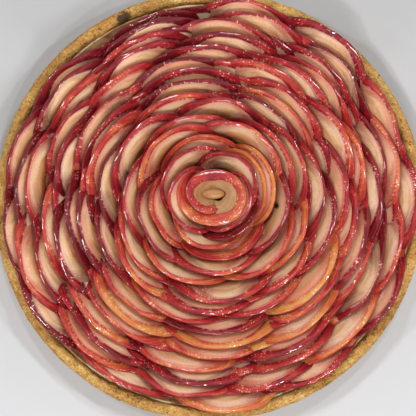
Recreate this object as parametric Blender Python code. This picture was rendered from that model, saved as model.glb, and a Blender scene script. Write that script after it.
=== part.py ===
"""A rosette tart: thin half-moon slices of red-skinned fruit, stood in turns on a filling in a pastry shell.

Run it with: blender --background --python part.py

The tart rests on z = 0 with its shell centred on the z axis. Azimuths are in degrees, anticlockwise from +X,
and lengths are in metres.
"""

import math
import random

import bmesh
import bpy

# Pastry shell
SHELL_RADIUS = 0.120
SHELL_HEIGHT = 0.027
RIM_WIDTH = 0.0056
WALL_AT_FLOOR = 0.0088
FLOOR_THICKNESS = 0.0045
FOOT_ROUNDING = 0.0022
SHELL_SIDES = 60
RIM_WAVE = 0.0004
CLEARANCE = 0.0003

# Filling: flat in the middle, with a bank that climbs the shell's wall
FILLING_TOP = 0.0130
BANK_TOP = 0.0215
BANK_WIDTH = 0.0062
FILLING_SIDES = 36

# One slice: a slab cut from the cheek of a round fruit and laid with its straight cut side down
FRUIT_RADIUS = 0.0370
CUT_DEPTH = 0.0090
SLICE_THICKNESS = 0.0019
SKIN_BEVEL = 0.0010
PACKED_SEGMENTS = 6
LOOSE_SEGMENTS = 10
LOWEST_EDGE = 0.0028
FOOT_LEVEL = 0.0006
SUNK_FOOT = 0.0018

# Rosette: the turns' centres slide from the rosette's eye to the shell's centre
EYE_X, EYE_Y = 0.0017, 0.0072
OUTER_REACH = 0.1132
TURN_PITCH = 0.00648
SLICE_FLOOR = FILLING_TOP + CLEARANCE
LEAN_OUTER, LEAN_INNER = 27.0, 13.0
LEAN_FROM, LEAN_TO = 0.016, 0.080
FISH_SCALE = 0.0011
ROUND_THE_EYE, ROUND_THE_SHELL = 0.0220, 0.0360
CORE_TOP = 0.0205
CORE_GAP = 0.0008
CORE_HALF_WIDTH = 0.0027
OUTER_CORE_WIDTH = 0.0022
INNER_CORE_WIDTH = 0.0009
RIM_TURNS = 4

# How much further out (+) or in (-) the outer turns reach at these azimuths
RIM_REACH = ((20, -0.0008), (55, 0.0022), (80, 0.0016), (106, -0.0012), (130, -0.0030), (160, 0.0006),
             (188, 0.0024), (215, 0.0), (250, -0.0016), (275, 0.0006), (302, -0.0012), (340, 0.0022))

# Azimuths of the slices in each packed turn, from the shell inwards
PACKED_TURNS = (
    (3, 28, 53, 80, 109, 138, 163, 188, 213, 243, 274, 302, 331),
    (14, 46, 75, 110, 142, 171, 199, 229, 261, 289, 317, 345),
    (17, 51, 86, 114, 142, 170, 200, 232, 265, 299, 334),
    (4, 46, 84, 118, 152, 190, 226, 260, 302, 335),
    (15, 54, 92, 127, 163, 198, 233, 272, 308, 343),
    (27, 66, 104, 146, 188, 232, 277, 318, 352),
    (5, 50, 100, 150, 192, 231, 273, 323),
    (50, 104, 156, 202, 250, 296, 347),
    (8, 55, 112, 168, 222, 270, 318),
    (25, 84, 145, 212, 278, 335),
    (38, 108, 180, 245, 315),
    (60, 130, 205, 275, 345),
)

# Each slice of the loose turns round the eye: its turn's number, its letter, azimuth and reach, how far its
# far end swings out past its near end, and how far both ends curl in
LOOSE_SIZE = 0.86
LOOSE_SLICES = (
    (13, "a", 15, 0.0349, 0.0014, 0.0),
    (13, "b", 105, 0.0349, 0.0014, 0.0),
    (13, "c", 195, 0.0349, 0.0014, 0.0),
    (13, "d", 285, 0.0349, 0.0014, 0.0),
    (14, "a", 135, 0.0280, 0.0015, 0.0),
    (14, "b", 250, 0.0291, 0.0031, 0.0006),
    (14, "c", 315, 0.0266, 0.0005, 0.0),
    (14, "d", 24, 0.0302, 0.0, 0.0),
    (15, "a", 190, 0.0235, 0.0029, 0.0034),
    (15, "b", 330, 0.0218, -0.0012, 0.0036),
    (15, "c", 44, 0.0239, -0.0015, 0.0013),
)

# The petal curls clockwise round the bud, from its free end outwards: azimuth, and where its band of skin
# starts and ends out from the eye
PETAL_BAND = (
    (288, 0.0080, 0.0102), (270, 0.0064, 0.0112), (240, 0.0082, 0.0124), (211, 0.0094, 0.0134),
    (180, 0.0106, 0.0148), (145, 0.0087, 0.0144), (90, 0.0064, 0.0131), (39, 0.0095, 0.0155),
    (0, 0.0128, 0.0181), (-41, 0.0137, 0.0200), (-73, 0.0127, 0.0180), (-98, 0.0128, 0.0162),
)
PETAL_HEIGHT = 0.0235
PETAL_BAND_DROP = 0.0034
PETAL_KNEE_HEIGHT = 0.0140
PETAL_FLARE = 0.0040
PETAL_LEAN = 17.0
PETAL_END_SHARE = 0.62
PETAL_STEPS = 36
BUD_LENGTH, BUD_WIDTH, BUD_HEIGHT = 0.0130, 0.0058, 0.0160
BUD_DOWN = 0.0006
BUD_SIDES = 16

SKIN = (0.47, 0.07, 0.06, 1.0)
ORANGE_SKIN = (0.62, 0.22, 0.07, 1.0)
FLESH = (0.75, 0.52, 0.33, 1.0)
PASTRY = (0.62, 0.38, 0.14, 1.0)
CREAM = (0.66, 0.52, 0.30, 1.0)


def clear_scene():
    """Remove whatever the scene starts with."""
    for obj in list(bpy.data.objects):
        bpy.data.objects.remove(obj, do_unlink=True)


def material(name, colour, roughness):
    """A Principled material with one colour and roughness."""
    made = bpy.data.materials.new(name)
    made.use_nodes = True
    shader = made.node_tree.nodes["Principled BSDF"]
    shader.inputs["Base Color"].default_value = colour
    shader.inputs["Roughness"].default_value = roughness
    shader.inputs["Metallic"].default_value = 0.0
    made.diffuse_color = colour
    return made


def object_from(bm, name, made_material):
    """Turn a bmesh into a named object with its faces out."""
    bmesh.ops.recalc_face_normals(bm, faces=bm.faces)
    mesh = bpy.data.meshes.new(name)
    bm.to_mesh(mesh)
    bm.free()
    if made_material is not None:
        mesh.materials.append(made_material)
    mesh.shade_smooth()
    mesh.set_sharp_from_angle(angle=math.radians(40))
    obj = bpy.data.objects.new(name, mesh)
    bpy.context.scene.collection.objects.link(obj)
    return obj


def blend(low, high, value):
    """Smooth step of value from 0 at low to 1 at high."""
    share = min(max((value - low) / (high - low), 0.0), 1.0)
    return share * share * (3.0 - 2.0 * share)


def around(table, azimuth):
    """Value at an azimuth of a table of (azimuth, value) pairs that closes on itself, smoothly blended."""
    azimuth %= 360.0
    closed = [(table[-1][0] - 360.0, table[-1][1]), *table, (table[0][0] + 360.0, table[0][1])]
    for (left, low), (right, high) in zip(closed, closed[1:]):
        if left <= azimuth <= right:
            return low + (high - low) * blend(left, right, azimuth)
    return table[0][1]


def lathe(profile_at, sides):
    """Turn an open profile about the z axis and close its two ends, as (radius, z) points at an azimuth."""
    bm = bmesh.new()
    rings = []
    for step in range(sides):
        azimuth = 360.0 * step / sides
        angle = math.radians(azimuth)
        rings.append([bm.verts.new((r * math.cos(angle), r * math.sin(angle), z))
                      for r, z in profile_at(azimuth)])
    for here, there in zip(rings, rings[1:] + rings[:1]):
        for i in range(len(here) - 1):
            bm.faces.new((here[i], there[i], there[i + 1], here[i + 1]))
    for end in (0, -1):
        bm.faces.new([ring[end] for ring in rings])
    return bm


def rim_wave(azimuth):
    """Hand-pressed unevenness of the rim, as a share of RIM_WAVE."""
    angle = math.radians(azimuth)
    return math.sin(5 * angle + 0.6) * 0.5 + math.sin(11 * angle + 2.1) * 0.3 + math.sin(23 * angle) * 0.2


def shell_profile(azimuth):
    """The shell's outline at an azimuth, from the floor's middle over the rim to the underside's middle."""
    wave = RIM_WAVE * rim_wave(azimuth)
    top = SHELL_HEIGHT - RIM_WAVE + wave
    inner_top = SHELL_RADIUS - RIM_WIDTH + wave
    return (
        (0.020, FLOOR_THICKNESS),
        (SHELL_RADIUS - WALL_AT_FLOOR - 0.001, FLOOR_THICKNESS),
        (SHELL_RADIUS - WALL_AT_FLOOR, FLOOR_THICKNESS + 0.001),
        (inner_top - 0.0004, top - 0.0020),
        (inner_top + 0.0008, top - 0.0004),
        (SHELL_RADIUS - RIM_WIDTH * 0.45, top),
        (SHELL_RADIUS - 0.0009, top - 0.0005),
        (SHELL_RADIUS, top - 0.0022),
        (SHELL_RADIUS, FOOT_ROUNDING),
        (SHELL_RADIUS - FOOT_ROUNDING * 0.4, FOOT_ROUNDING * 0.35),
        (SHELL_RADIUS - FOOT_ROUNDING, 0.0),
        (0.020, 0.0),
    )


def build_shell():
    """Shortcrust shell: a floor and a plain wall with a softly uneven rim."""
    bm = lathe(shell_profile, SHELL_SIDES)
    return object_from(bm, "pastry_shell", material("pastry", PASTRY, 0.85))


def wall_at(z):
    """Inner radius of the shell's wall at a height, from its straight inner face."""
    low = (SHELL_RADIUS - WALL_AT_FLOOR, FLOOR_THICKNESS + 0.001)
    high = (SHELL_RADIUS - RIM_WIDTH - 0.0004 - RIM_WAVE, SHELL_HEIGHT - 2 * RIM_WAVE - 0.0020)
    return low[0] + (high[0] - low[0]) * (z - low[1]) / (high[1] - low[1])


def build_filling():
    """Baked filling under the fruit, level in the middle and climbing the wall at its edge."""
    floor = FLOOR_THICKNESS + CLEARANCE

    def profile(azimuth):
        gap = 3 * CLEARANCE
        edge = wall_at(BANK_TOP) - gap
        return (
            (0.020, FILLING_TOP),
            (edge - BANK_WIDTH, FILLING_TOP),
            (edge - BANK_WIDTH * 0.5, FILLING_TOP + 0.55 * (BANK_TOP - FILLING_TOP)),
            (edge - 0.0012, BANK_TOP),
            (edge, BANK_TOP - 0.0010),
            (wall_at(floor + 0.001) - gap, floor + 0.0012),
            (wall_at(floor + 0.001) - 0.0015, floor),
            (0.020, floor),
        )

    bm = lathe(profile, FILLING_SIDES)
    return object_from(bm, "filling", material("filling", CREAM, 0.5))


class Turn:
    """One turn of the rosette: slices that lean outwards on a common cone."""

    def __init__(self, index, reach, azimuths, size=1.0, swing=FISH_SCALE, curl=0.0):
        self.index = index
        self.reach = reach
        self.azimuths = azimuths
        self.fruit = FRUIT_RADIUS * size
        opened = blend(LEAN_FROM, LEAN_TO, reach)
        self.lean = math.radians(LEAN_INNER + (LEAN_OUTER - LEAN_INNER) * opened)
        share = 1.0 - blend(ROUND_THE_EYE, ROUND_THE_SHELL, reach) * reach / OUTER_REACH
        self.centre = (EYE_X * share, EYE_Y * share)
        self.rim_share = max(0.0, 1.0 - index / RIM_TURNS)
        self.height = self.fruit - CUT_DEPTH
        self.swing = swing
        self.curl = curl

    def foot_radius(self, azimuth):
        """Radius of the cone's foot about the turn's centre."""
        bulge = around(RIM_REACH, azimuth) * self.rim_share
        return self.reach + bulge - self.height * math.sin(self.lean)

    def middle_radius(self, azimuth):
        """Radius of the cone half way up its slices."""
        return self.foot_radius(azimuth) + 0.5 * self.height * math.sin(self.lean)

    def gap_outside(self, inner, azimuth):
        """Distance between the feet of this turn and a turn inside it, along the inner turn's normal."""
        angle = math.radians(azimuth)
        shift_x, shift_y = inner.centre[0] - self.centre[0], inner.centre[1] - self.centre[1]
        shift = shift_x * math.cos(angle) + shift_y * math.sin(angle)
        return (self.foot_radius(azimuth) - inner.foot_radius(azimuth) - shift) * math.cos(inner.lean)

    def point(self, azimuth, up, out):
        """A point of the cone: up along its slope from the foot, out from it along its normal."""
        radius = self.foot_radius(azimuth) + up * math.sin(self.lean) + out * math.cos(self.lean)
        angle = math.radians(azimuth)
        return (
            self.centre[0] + radius * math.cos(angle),
            self.centre[1] + radius * math.sin(angle),
            SLICE_FLOOR + up * math.cos(self.lean) - out * math.sin(self.lean),
        )

    def slice_sections(self, number, segments, foot):
        """The corners of a slice's sections: inner face's foot and top, outer face's top and foot."""
        rng = random.Random(100 * self.index + number)
        fruit = self.fruit * rng.uniform(0.97, 1.04)
        slide = rng.uniform(-0.0022, 0.0018)
        roll = rng.uniform(-0.05, 0.05)
        bevel = SKIN_BEVEL * rng.choice((-1, 1))
        half_length = math.sqrt(fruit**2 - CUT_DEPTH**2)
        azimuth = self.azimuths[number]
        end = math.asin(0.985 * half_length / fruit)
        sections = []
        for i in range(segments + 1):
            along = fruit * math.sin(end * (2 * i / segments - 1))
            arch = math.sqrt(fruit**2 - along**2) - CUT_DEPTH + slide + roll * along
            here = azimuth + math.degrees(along / self.middle_radius(azimuth))
            share = along / half_length
            shift = self.swing * share - self.curl * share * share
            near, far = shift - SLICE_THICKNESS / 2, shift + SLICE_THICKNESS / 2
            sections.append([
                self.point(here, foot, near),
                self.point(here, max(arch, LOWEST_EDGE), near),
                self.point(here, max(arch + bevel, LOWEST_EDGE), far),
                self.point(here, foot, far),
            ])
        return sections


def bar_of(sections, closed):
    """Join a row of sections with as many corners each into a bar with capped ends, or into a closed ring."""
    bm = bmesh.new()
    rows = [[bm.verts.new(corner) for corner in section] for section in sections]
    following = rows[1:] + rows[:1] if closed else rows[1:]
    for here, there in zip(rows, following):
        for i in range(len(here)):
            j = (i + 1) % len(here)
            bm.faces.new((here[i], there[i], there[j], here[j]))
    if not closed:
        bm.faces.new(rows[0])
        bm.faces.new(rows[-1])
    return bm


def build_core(turn, outer, inner):
    """The packed lower half of a turn, on which its visible slices stand."""
    sides = 2 * len(turn.azimuths) + 6
    high = (CORE_TOP - SLICE_FLOOR) / math.cos(turn.lean)
    sections = []
    for step in range(sides):
        azimuth = 360.0 * step / sides
        near, far = INNER_CORE_WIDTH, OUTER_CORE_WIDTH
        if inner is not None:
            near = min(0.5 * (turn.gap_outside(inner, azimuth) - CORE_GAP), CORE_HALF_WIDTH)
        if outer is not None:
            far = min(0.5 * (outer.gap_outside(turn, azimuth) - CORE_GAP), CORE_HALF_WIDTH)
        level = math.tan(turn.lean)
        sections.append([
            turn.point(azimuth, -near * level, -near),
            turn.point(azimuth, high, -near),
            turn.point(azimuth, high, far),
            turn.point(azimuth, far * level, far),
        ])
    return object_from(bar_of(sections, closed=True), f"slices_turn_{turn.index + 1:02d}", None)


def fuse(base, pieces):
    """Union the pieces onto the base, apply it and remove them."""
    group = bpy.data.collections.new(base.name + "_pieces")
    bpy.context.scene.collection.children.link(group)
    for piece in pieces:
        bpy.context.scene.collection.objects.unlink(piece)
        group.objects.link(piece)
    union = base.modifiers.new("fused", "BOOLEAN")
    union.operation = "UNION"
    union.operand_type = "COLLECTION"
    union.collection = group
    union.solver = "EXACT"
    bpy.context.view_layer.update()
    graph = bpy.context.evaluated_depsgraph_get()
    fused = bpy.data.meshes.new_from_object(base.evaluated_get(graph))
    base.modifiers.clear()
    base.data = fused
    for piece in pieces:
        bpy.data.objects.remove(piece, do_unlink=True)
    bpy.data.collections.remove(group)


def build_packed_turn(turn, outer, inner, made_material):
    """A turn as one node: its core with its own slices fused on."""
    core = build_core(turn, outer, inner)
    slices = []
    for number in range(len(turn.azimuths)):
        sections = turn.slice_sections(number, PACKED_SEGMENTS, SUNK_FOOT)
        slices.append(object_from(bar_of(sections, closed=False), f"slice_{number}", None))
    fuse(core, slices)
    core.data.materials.clear()
    core.data.materials.append(made_material)


def build_loose_slice(turn, name, made_material):
    """A slice of an inner turn, a node of its own that stands on the filling."""
    sections = turn.slice_sections(0, LOOSE_SEGMENTS, FOOT_LEVEL)
    object_from(bar_of(sections, closed=False), name, made_material)


def along_band(azimuth):
    """Where the petal's band of skin starts and ends at an azimuth, on a smooth curve through its table."""
    last = len(PETAL_BAND) - 1
    for i in range(last):
        (start, *low), (stop, *high) = PETAL_BAND[i], PETAL_BAND[i + 1]
        if azimuth >= stop:
            break
    before, after = PETAL_BAND[max(i - 1, 0)], PETAL_BAND[min(i + 2, last)]
    share = (start - azimuth) / (start - stop)
    edges = []
    for k in (0, 1):
        rise = (high[k] - before[k + 1]) * (start - stop) / (before[0] - stop)
        fall = (after[k + 1] - low[k]) * (start - stop) / (start - after[0])
        edges.append(
            (2 * share**3 - 3 * share**2 + 1) * low[k] + (share**3 - 2 * share**2 + share) * rise
            + (3 * share**2 - 2 * share**3) * high[k] + (share**3 - share**2) * fall
        )
    return edges


def bud_radius(azimuth):
    """How far the bud reaches from the eye at an azimuth."""
    angle = math.radians(azimuth)
    along, across = math.cos(angle) / (0.5 * BUD_LENGTH), math.sin(angle) / (0.5 * BUD_WIDTH + BUD_DOWN)
    return 1.0 / math.hypot(along, across)


def build_petal(made_material):
    """The thick slice that curls round the bud, with a broad band of skin that slopes down towards it."""
    lean = math.tan(math.radians(PETAL_LEAN))
    first, last = PETAL_BAND[0][0], PETAL_BAND[-1][0]
    sections = []
    for step in range(PETAL_STEPS + 1):
        share = step / PETAL_STEPS
        azimuth = first + (last - first) * share
        angle = math.radians(azimuth)
        start, end = along_band(azimuth)
        taper = PETAL_END_SHARE + (1 - PETAL_END_SHARE) * blend(0.0, 0.10, share) * blend(1.0, 0.86, share)
        top = PETAL_HEIGHT * taper
        flare = PETAL_FLARE * blend(-62.0, -35.0, azimuth)
        knee = max(start - flare - CLEARANCE, bud_radius(azimuth) + 2 * CLEARANCE)
        foot = max(end - lean * top, knee + SLICE_THICKNESS)
        corners = (
            (knee, FOOT_LEVEL),
            (knee, min(PETAL_KNEE_HEIGHT, top - 2 * PETAL_BAND_DROP)),
            (start, top - PETAL_BAND_DROP),
            (end, top),
            (foot, FOOT_LEVEL),
        )
        along_x, along_y = math.cos(angle), math.sin(angle)
        sections.append([(EYE_X + radius * along_x, EYE_Y + radius * along_y, SLICE_FLOOR + up)
                         for radius, up in corners])
    object_from(bar_of(sections, closed=False), "petal", made_material)


def build_bud(made_material):
    """The tightly rolled slice at the eye: an upright oval roll with a domed top."""
    bm = bmesh.new()
    levels = ((0.0, 0.86), (0.45, 0.93), (0.86, 1.0), (0.97, 0.88), (1.0, 0.55))
    rows = []
    for height, size in levels:
        row = []
        for side in range(BUD_SIDES):
            angle = 2 * math.pi * side / BUD_SIDES
            x = EYE_X + 0.5 * BUD_LENGTH * size * math.cos(angle)
            y = EYE_Y - BUD_DOWN + 0.5 * BUD_WIDTH * size * math.sin(angle)
            row.append(bm.verts.new((x, y, SLICE_FLOOR + BUD_HEIGHT * height)))
        rows.append(row)
    for here, there in zip(rows, rows[1:]):
        for i in range(BUD_SIDES):
            j = (i + 1) % BUD_SIDES
            bm.faces.new((here[i], here[j], there[j], there[i]))
    bm.faces.new(rows[0])
    bm.faces.new(rows[-1])
    object_from(bm, "bud", made_material)


def main():
    """Build the tart from the shell inwards."""
    clear_scene()
    build_shell()
    build_filling()
    skin = material("fruit_slices", SKIN, 0.3)
    orange = material("fruit_slices_golden", ORANGE_SKIN, 0.3)
    flesh = material("fruit_bud", FLESH, 0.35)
    packed = [Turn(index, OUTER_REACH - TURN_PITCH * index, azimuths)
              for index, azimuths in enumerate(PACKED_TURNS)]
    for turn, outer, inner in zip(packed, [None] + packed, packed[1:] + [None]):
        build_packed_turn(turn, outer, inner, skin)
    for number, letter, azimuth, reach, swing, curl in LOOSE_SLICES:
        turn = Turn(number * 10 + ord(letter), reach, (azimuth,), LOOSE_SIZE, swing, curl)
        build_loose_slice(turn, f"slice_{number}_{letter}", orange)
    build_petal(skin)
    build_bud(flesh)


main()
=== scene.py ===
"""The looks of a rosette tart: glazed half-moon slices of red-skinned apple in a sandy shortcrust shell.

Lengths are in metres and azimuths in degrees, anticlockwise from +X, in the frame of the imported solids: the
tart rests on z = 0, the shell is centred on the z axis, and the camera looks straight down with +Y up in the
picture.
"""

import logging
import math
import random
from collections import defaultdict
from dataclasses import dataclass, field
from enum import Enum
from typing import Sequence

import bmesh
import bpy
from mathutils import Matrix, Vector, noise


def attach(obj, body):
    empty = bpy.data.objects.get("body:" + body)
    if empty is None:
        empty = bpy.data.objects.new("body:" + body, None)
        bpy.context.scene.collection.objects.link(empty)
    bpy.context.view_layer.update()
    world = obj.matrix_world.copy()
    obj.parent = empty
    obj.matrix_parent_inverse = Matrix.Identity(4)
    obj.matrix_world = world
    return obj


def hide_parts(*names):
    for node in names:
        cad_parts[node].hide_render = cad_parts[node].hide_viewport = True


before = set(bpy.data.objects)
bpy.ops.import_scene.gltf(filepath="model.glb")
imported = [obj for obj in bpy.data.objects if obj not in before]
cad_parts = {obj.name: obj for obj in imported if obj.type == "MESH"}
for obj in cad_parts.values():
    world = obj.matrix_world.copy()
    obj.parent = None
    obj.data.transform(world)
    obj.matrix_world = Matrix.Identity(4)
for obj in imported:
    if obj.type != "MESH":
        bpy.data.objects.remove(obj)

log = logging.getLogger("tart")
MM = 0.001

Point = tuple[float, float, float]
Colour = tuple[float, float, float, float]


class Slot(Enum):
    """Material slots, by name."""

    PASTRY = "pastry"
    FILLING = "filling"
    RED = "red_skinned_slices"
    GOLDEN = "golden_skinned_slices"
    BUD = "bud_flesh"


def linear(code: str) -> Colour:
    """Turn an sRGB hex colour into the linear values that the shaders take.

    Args:
        code: Six hex digits with a leading hash.

    Returns:
        Red, green, blue and a full alpha, each from 0 to 1.
    """
    parts = [int(code[i:i + 2], 16) / 255 for i in (1, 3, 5)]
    red, green, blue = (
        part / 12.92 if part <= 0.04045 else ((part + 0.055) / 1.055) ** 2.4 for part in parts)
    return red, green, blue, 1.0


def blend(low: float, high: float, value: float) -> float:
    """Step smoothly from 0 to 1 as a value goes from low to high.

    Args:
        low: Where the step starts.
        high: Where it ends; it may be less than low.
        value: The value looked at.

    Returns:
        The share of the step that is done.
    """
    share = min(max((value - low) / (high - low), 0.0), 1.0)
    return share * share * (3.0 - 2.0 * share)


def around(table: Sequence[tuple[float, float]], azimuth: float) -> float:
    """Read a table of (azimuth, value) pairs that closes on itself.

    Args:
        table: The pairs, by rising azimuth.
        azimuth: Where to read it.

    Returns:
        The value there, smoothly blended between its neighbours.
    """
    azimuth %= 360.0
    closed = [(table[-1][0] - 360.0, table[-1][1]), *table, (table[0][0] + 360.0, table[0][1])]
    for (left, low), (right, high) in zip(closed, closed[1:]):
        if left <= azimuth <= right:
            return low + (high - low) * blend(left, right, azimuth)
    return table[0][1]


def add_node(tree: bpy.types.NodeTree, kind: str, inputs: dict | None = None, **settings) -> bpy.types.Node:
    """Add a node with its settings, values and links.

    Args:
        tree: The tree that it goes in.
        kind: Blender's name for the node.
        inputs: Values, sockets or terms by the input's name or number.
        **settings: The node's own properties.

    Returns:
        The new node.
    """
    node = tree.nodes.new(kind)
    for name, value in settings.items():
        setattr(node, name, value)
    for key, value in (inputs or {}).items():
        socket = node.inputs[key] if isinstance(key, int) else next(
            each for each in node.inputs if each.name == key and each.enabled)
        if isinstance(value, Term):
            value = value.socket
        if isinstance(value, bpy.types.NodeSocket):
            tree.links.new(value, socket)
        else:
            socket.default_value = value
    return node


class Term:
    """A value that a node tree works out at every point, and that takes part in plain sums."""

    def __init__(self, node: bpy.types.Node, output: str | int = 0) -> None:
        """Take one output of a node.

        Args:
            node: The node.
            output: The output's name or number.
        """
        self.tree = node.id_data
        self.socket = node.outputs[output] if isinstance(output, int) else next(
            each for each in node.outputs if each.name == output and each.enabled)

    def __add__(self, other: "Term | float") -> "Term":
        """Add another term or number."""
        return maths("ADD", self, other)

    def __radd__(self, other: float) -> "Term":
        """Add this term to a number."""
        return maths("ADD", other, self)

    def __sub__(self, other: "Term | float") -> "Term":
        """Take another term or number away."""
        return maths("SUBTRACT", self, other)

    def __rsub__(self, other: float) -> "Term":
        """Take this term from a number."""
        return maths("SUBTRACT", other, self)

    def __mul__(self, other: "Term | float") -> "Term":
        """Multiply by another term or number."""
        return maths("MULTIPLY", self, other)

    def __rmul__(self, other: float) -> "Term":
        """Multiply a number by this term."""
        return maths("MULTIPLY", other, self)

    def __truediv__(self, other: "Term | float") -> "Term":
        """Divide by another term or number."""
        return maths("DIVIDE", self, other)


def maths(operation: str, *values: "Term | float") -> Term:
    """Combine terms and numbers in one sum.

    Args:
        operation: Blender's name for the sum.
        *values: What it takes, at least one of them a term.

    Returns:
        The result as a term.
    """
    tree = next(value.tree for value in values if isinstance(value, Term))
    return Term(add_node(tree, "ShaderNodeMath", dict(enumerate(values)), operation=operation))


def clamped(value: Term, top: float = 1.0) -> Term:
    """Keep a term from 0 to a top value."""
    return maths("MINIMUM", maths("MAXIMUM", value, 0.0), top)


def ramp(tree: bpy.types.NodeTree, value: Term, stops: Sequence[tuple[float, str]]) -> Term:
    """Colour a term by a row of stops.

    Args:
        tree: The material's tree.
        value: The term, from 0 to 1.
        stops: Places on the ramp and their hex colours.

    Returns:
        The colour as a term.
    """
    node = add_node(tree, "ShaderNodeValToRGB", {"Fac": value})
    elements = node.color_ramp.elements
    while len(elements) < len(stops):
        elements.new(0.5)
    for element, (place, code) in zip(elements, stops):
        element.position = place
        element.color = linear(code)
    return Term(node, "Color")


def mix(share: Term | float, below: "Term | Colour", above: "Term | Colour") -> Term:
    """Lay one colour over another.

    Args:
        share: How much of the upper one shows.
        below: The lower colour.
        above: The upper colour.

    Returns:
        The colour as a term.
    """
    tree = next(value.tree for value in (share, below, above) if isinstance(value, Term))
    node = add_node(tree, "ShaderNodeMix", {"Factor": share, "A": below, "B": above}, data_type="RGBA")
    return Term(node, "Result")


def new_material(name: str) -> tuple[bpy.types.Material, bpy.types.NodeTree]:
    """Start a material with an empty tree.

    Args:
        name: The finish's name.

    Returns:
        The material and its tree.
    """
    material = bpy.data.materials.new(name)
    material.use_nodes = True
    material.node_tree.nodes.clear()
    return material, material.node_tree


@dataclass(frozen=True)
class BakedFruit:
    """Thin apple slices, baked soft in butter and brushed with hot apricot jelly.

    The skin turns from crimson to gold and wrinkles across the slice. The flesh under it is cream, stained
    pink at the skin, and darker deep between the slices: partly juice soaked in, partly painted shade that
    goes near black in the dark gaps. The jelly is a clear coat with small hard highlights; pale spots on the
    skin and a row of pale dots along the edge where the skin was cut are painted highlights.
    """

    name: str = "baked_apple_slices"
    skin: tuple[tuple[float, str], ...] = (
        (0.0, "#560A14"), (0.22, "#7E121E"), (0.44, "#A2262A"), (0.60, "#B24634"), (0.77, "#C4703E"),
        (1.0, "#C68E4C"),
    )
    # Flesh by depth below the slice's top: partly juice soaked in, partly painted shade, near black deepest
    flesh: tuple[tuple[float, str], ...] = (
        (0.0, "#EFBEA4"), (0.05, "#F8DCC0"), (0.24, "#F4D6B0"), (0.46, "#E2B98E"), (0.70, "#CA9568"),
        (0.86, "#94462A"), (1.0, "#2C0D07"),
    )
    flesh_depth: float = 0.0195
    stain: str = "#E07E68"
    stain_depth: float = 0.009
    grain: str = "#CF9E64"
    fibre: str = "#BE8C62"
    painted_shade: str = "#160604"
    painted_shade_from: float = 0.007
    painted_shade_fade: float = 0.004
    painted_glint_colour: str = "#FBE6DC"
    roughness: float = 0.36
    ior: float = 1.36
    gloss: float = 0.15
    coat: float = 1.0
    coat_on_flesh: float = 0.25
    coat_roughness: float = 0.05
    coat_ior: float = 1.52
    relief: float = 0.0006
    coat_relief: float = 0.00025
    translucency: float = 0.3
    translucent_reach: float = 0.004
    # Patches of colour on the skin are some 14 mm across and its baked wrinkles 1.6 mm apart. The skin's
    # streaks and the flesh's fibres are a few tenths of a millimetre wide, too fine to show in the render,
    # and are drawn coarser. The jelly's glints are painted highlights: pale spots some 1.3 mm apart.
    patch_spacing: float = 0.014
    ripple_spacing: float = 0.0016
    ripple_stretch: Point = (1.0, 0.16, 1.0)
    streak_width: float = 0.0008
    streak_stretch: Point = (0.10, 1.0, 1.0)
    border_width: float = 0.0014
    fibre_spacing: float = 0.0009
    glint_spacing: float = 0.0013
    glint_radius: float = 0.30
    # How much the patterns change the skin's and the flesh's tone, and how the skin reddens to its edges
    patch_contrast: float = 0.95
    streak_contrast: float = 0.65
    ripple_contrast: float = 0.16
    redder_edges: float = 0.24
    reddest: float = 0.06
    flesh_cloud_contrast: float = 0.24
    flesh_grain_contrast: float = 0.62

    def build(self) -> bpy.types.Material:
        """Make the material.

        Returns:
            A material that reads the slices' own attributes.
        """
        material, tree = new_material(self.name)
        peel, depth, tone, blush, across, end, gild, hollow, seam = (
            Term(add_node(tree, "ShaderNodeAttribute", attribute_name=name), "Fac")
            for name in ("peel", "depth", "tone", "blush", "across", "end", "gild", "hollow", "seam"))
        lay = Term(add_node(tree, "ShaderNodeAttribute", attribute_name="lay"), "Vector")
        stretched, drawn = (
            Term(add_node(tree, "ShaderNodeVectorMath", {0: lay, 1: stretch}, operation="MULTIPLY"))
            for stretch in (self.ripple_stretch, self.streak_stretch))
        clouds, ripple, streak, grain, fibres = (
            Term(add_node(tree, "ShaderNodeTexNoise",
                          {"Vector": place, "Scale": scale, "Detail": detail, "Roughness": rough}), 0)
            for place, scale, detail, rough in (
                (lay, 1 / self.patch_spacing, 3.0, 0.55), (stretched, 1 / self.ripple_spacing, 2.0, 0.5),
                (drawn, 1 / self.streak_width, 3.0, 0.5), (drawn, 0.35 / self.streak_width, 2.0, 0.5),
                (lay, 1 / self.fibre_spacing, 3.0, 0.5)))
        glint_cell = Term(add_node(tree, "ShaderNodeTexVoronoi",
                               {"Vector": lay, "Scale": 1 / self.glint_spacing}), "Distance")

        varied = (tone + (clouds - 0.5) * self.patch_contrast + (streak - 0.5) * self.streak_contrast
                  + (ripple - 0.5) * self.ripple_contrast)
        varied = maths("MAXIMUM", varied - across * across * self.redder_edges, self.reddest)
        # Painted highlights: pale spots on the skin stand in for glints of the jelly
        painted_glint_spots = clamped((self.glint_radius - glint_cell) * 6.0, 0.6)
        painted_glint_spots = painted_glint_spots * clamped((clouds + streak * 0.6 - 0.78) * 6.0)
        skin = mix(painted_glint_spots, ramp(tree, varied, self.skin), linear(self.painted_glint_colour))

        soaked_and_shaded = (depth / self.flesh_depth + (clouds - 0.5) * self.flesh_cloud_contrast
                   + (grain - 0.5) * self.flesh_grain_contrast)
        flesh = ramp(tree, soaked_and_shaded, self.flesh)
        flesh = mix(clamped((grain - 0.47) * 5.0, 0.7), flesh, mix(0.55, flesh, linear(self.grain)))
        tip = maths("MAXIMUM", (end - 0.13 + (clouds - 0.5) * 0.6 + (grain - 0.5) * 0.4) * 2.0, 0.0)
        flesh = mix(maths("MINIMUM", tip + gild * clouds, 0.80), flesh, skin)
        near_skin = maths("MAXIMUM", 1.0 - depth / self.stain_depth, 0.0)
        stained = maths("MINIMUM", blush * near_skin * (0.4 + clouds * 0.8), 0.85)
        flesh = mix(stained, flesh, linear(self.stain))
        flesh = mix(maths("MAXIMUM", (fibres - 0.45) * 1.2, 0.0), flesh, linear(self.fibre))

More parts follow.
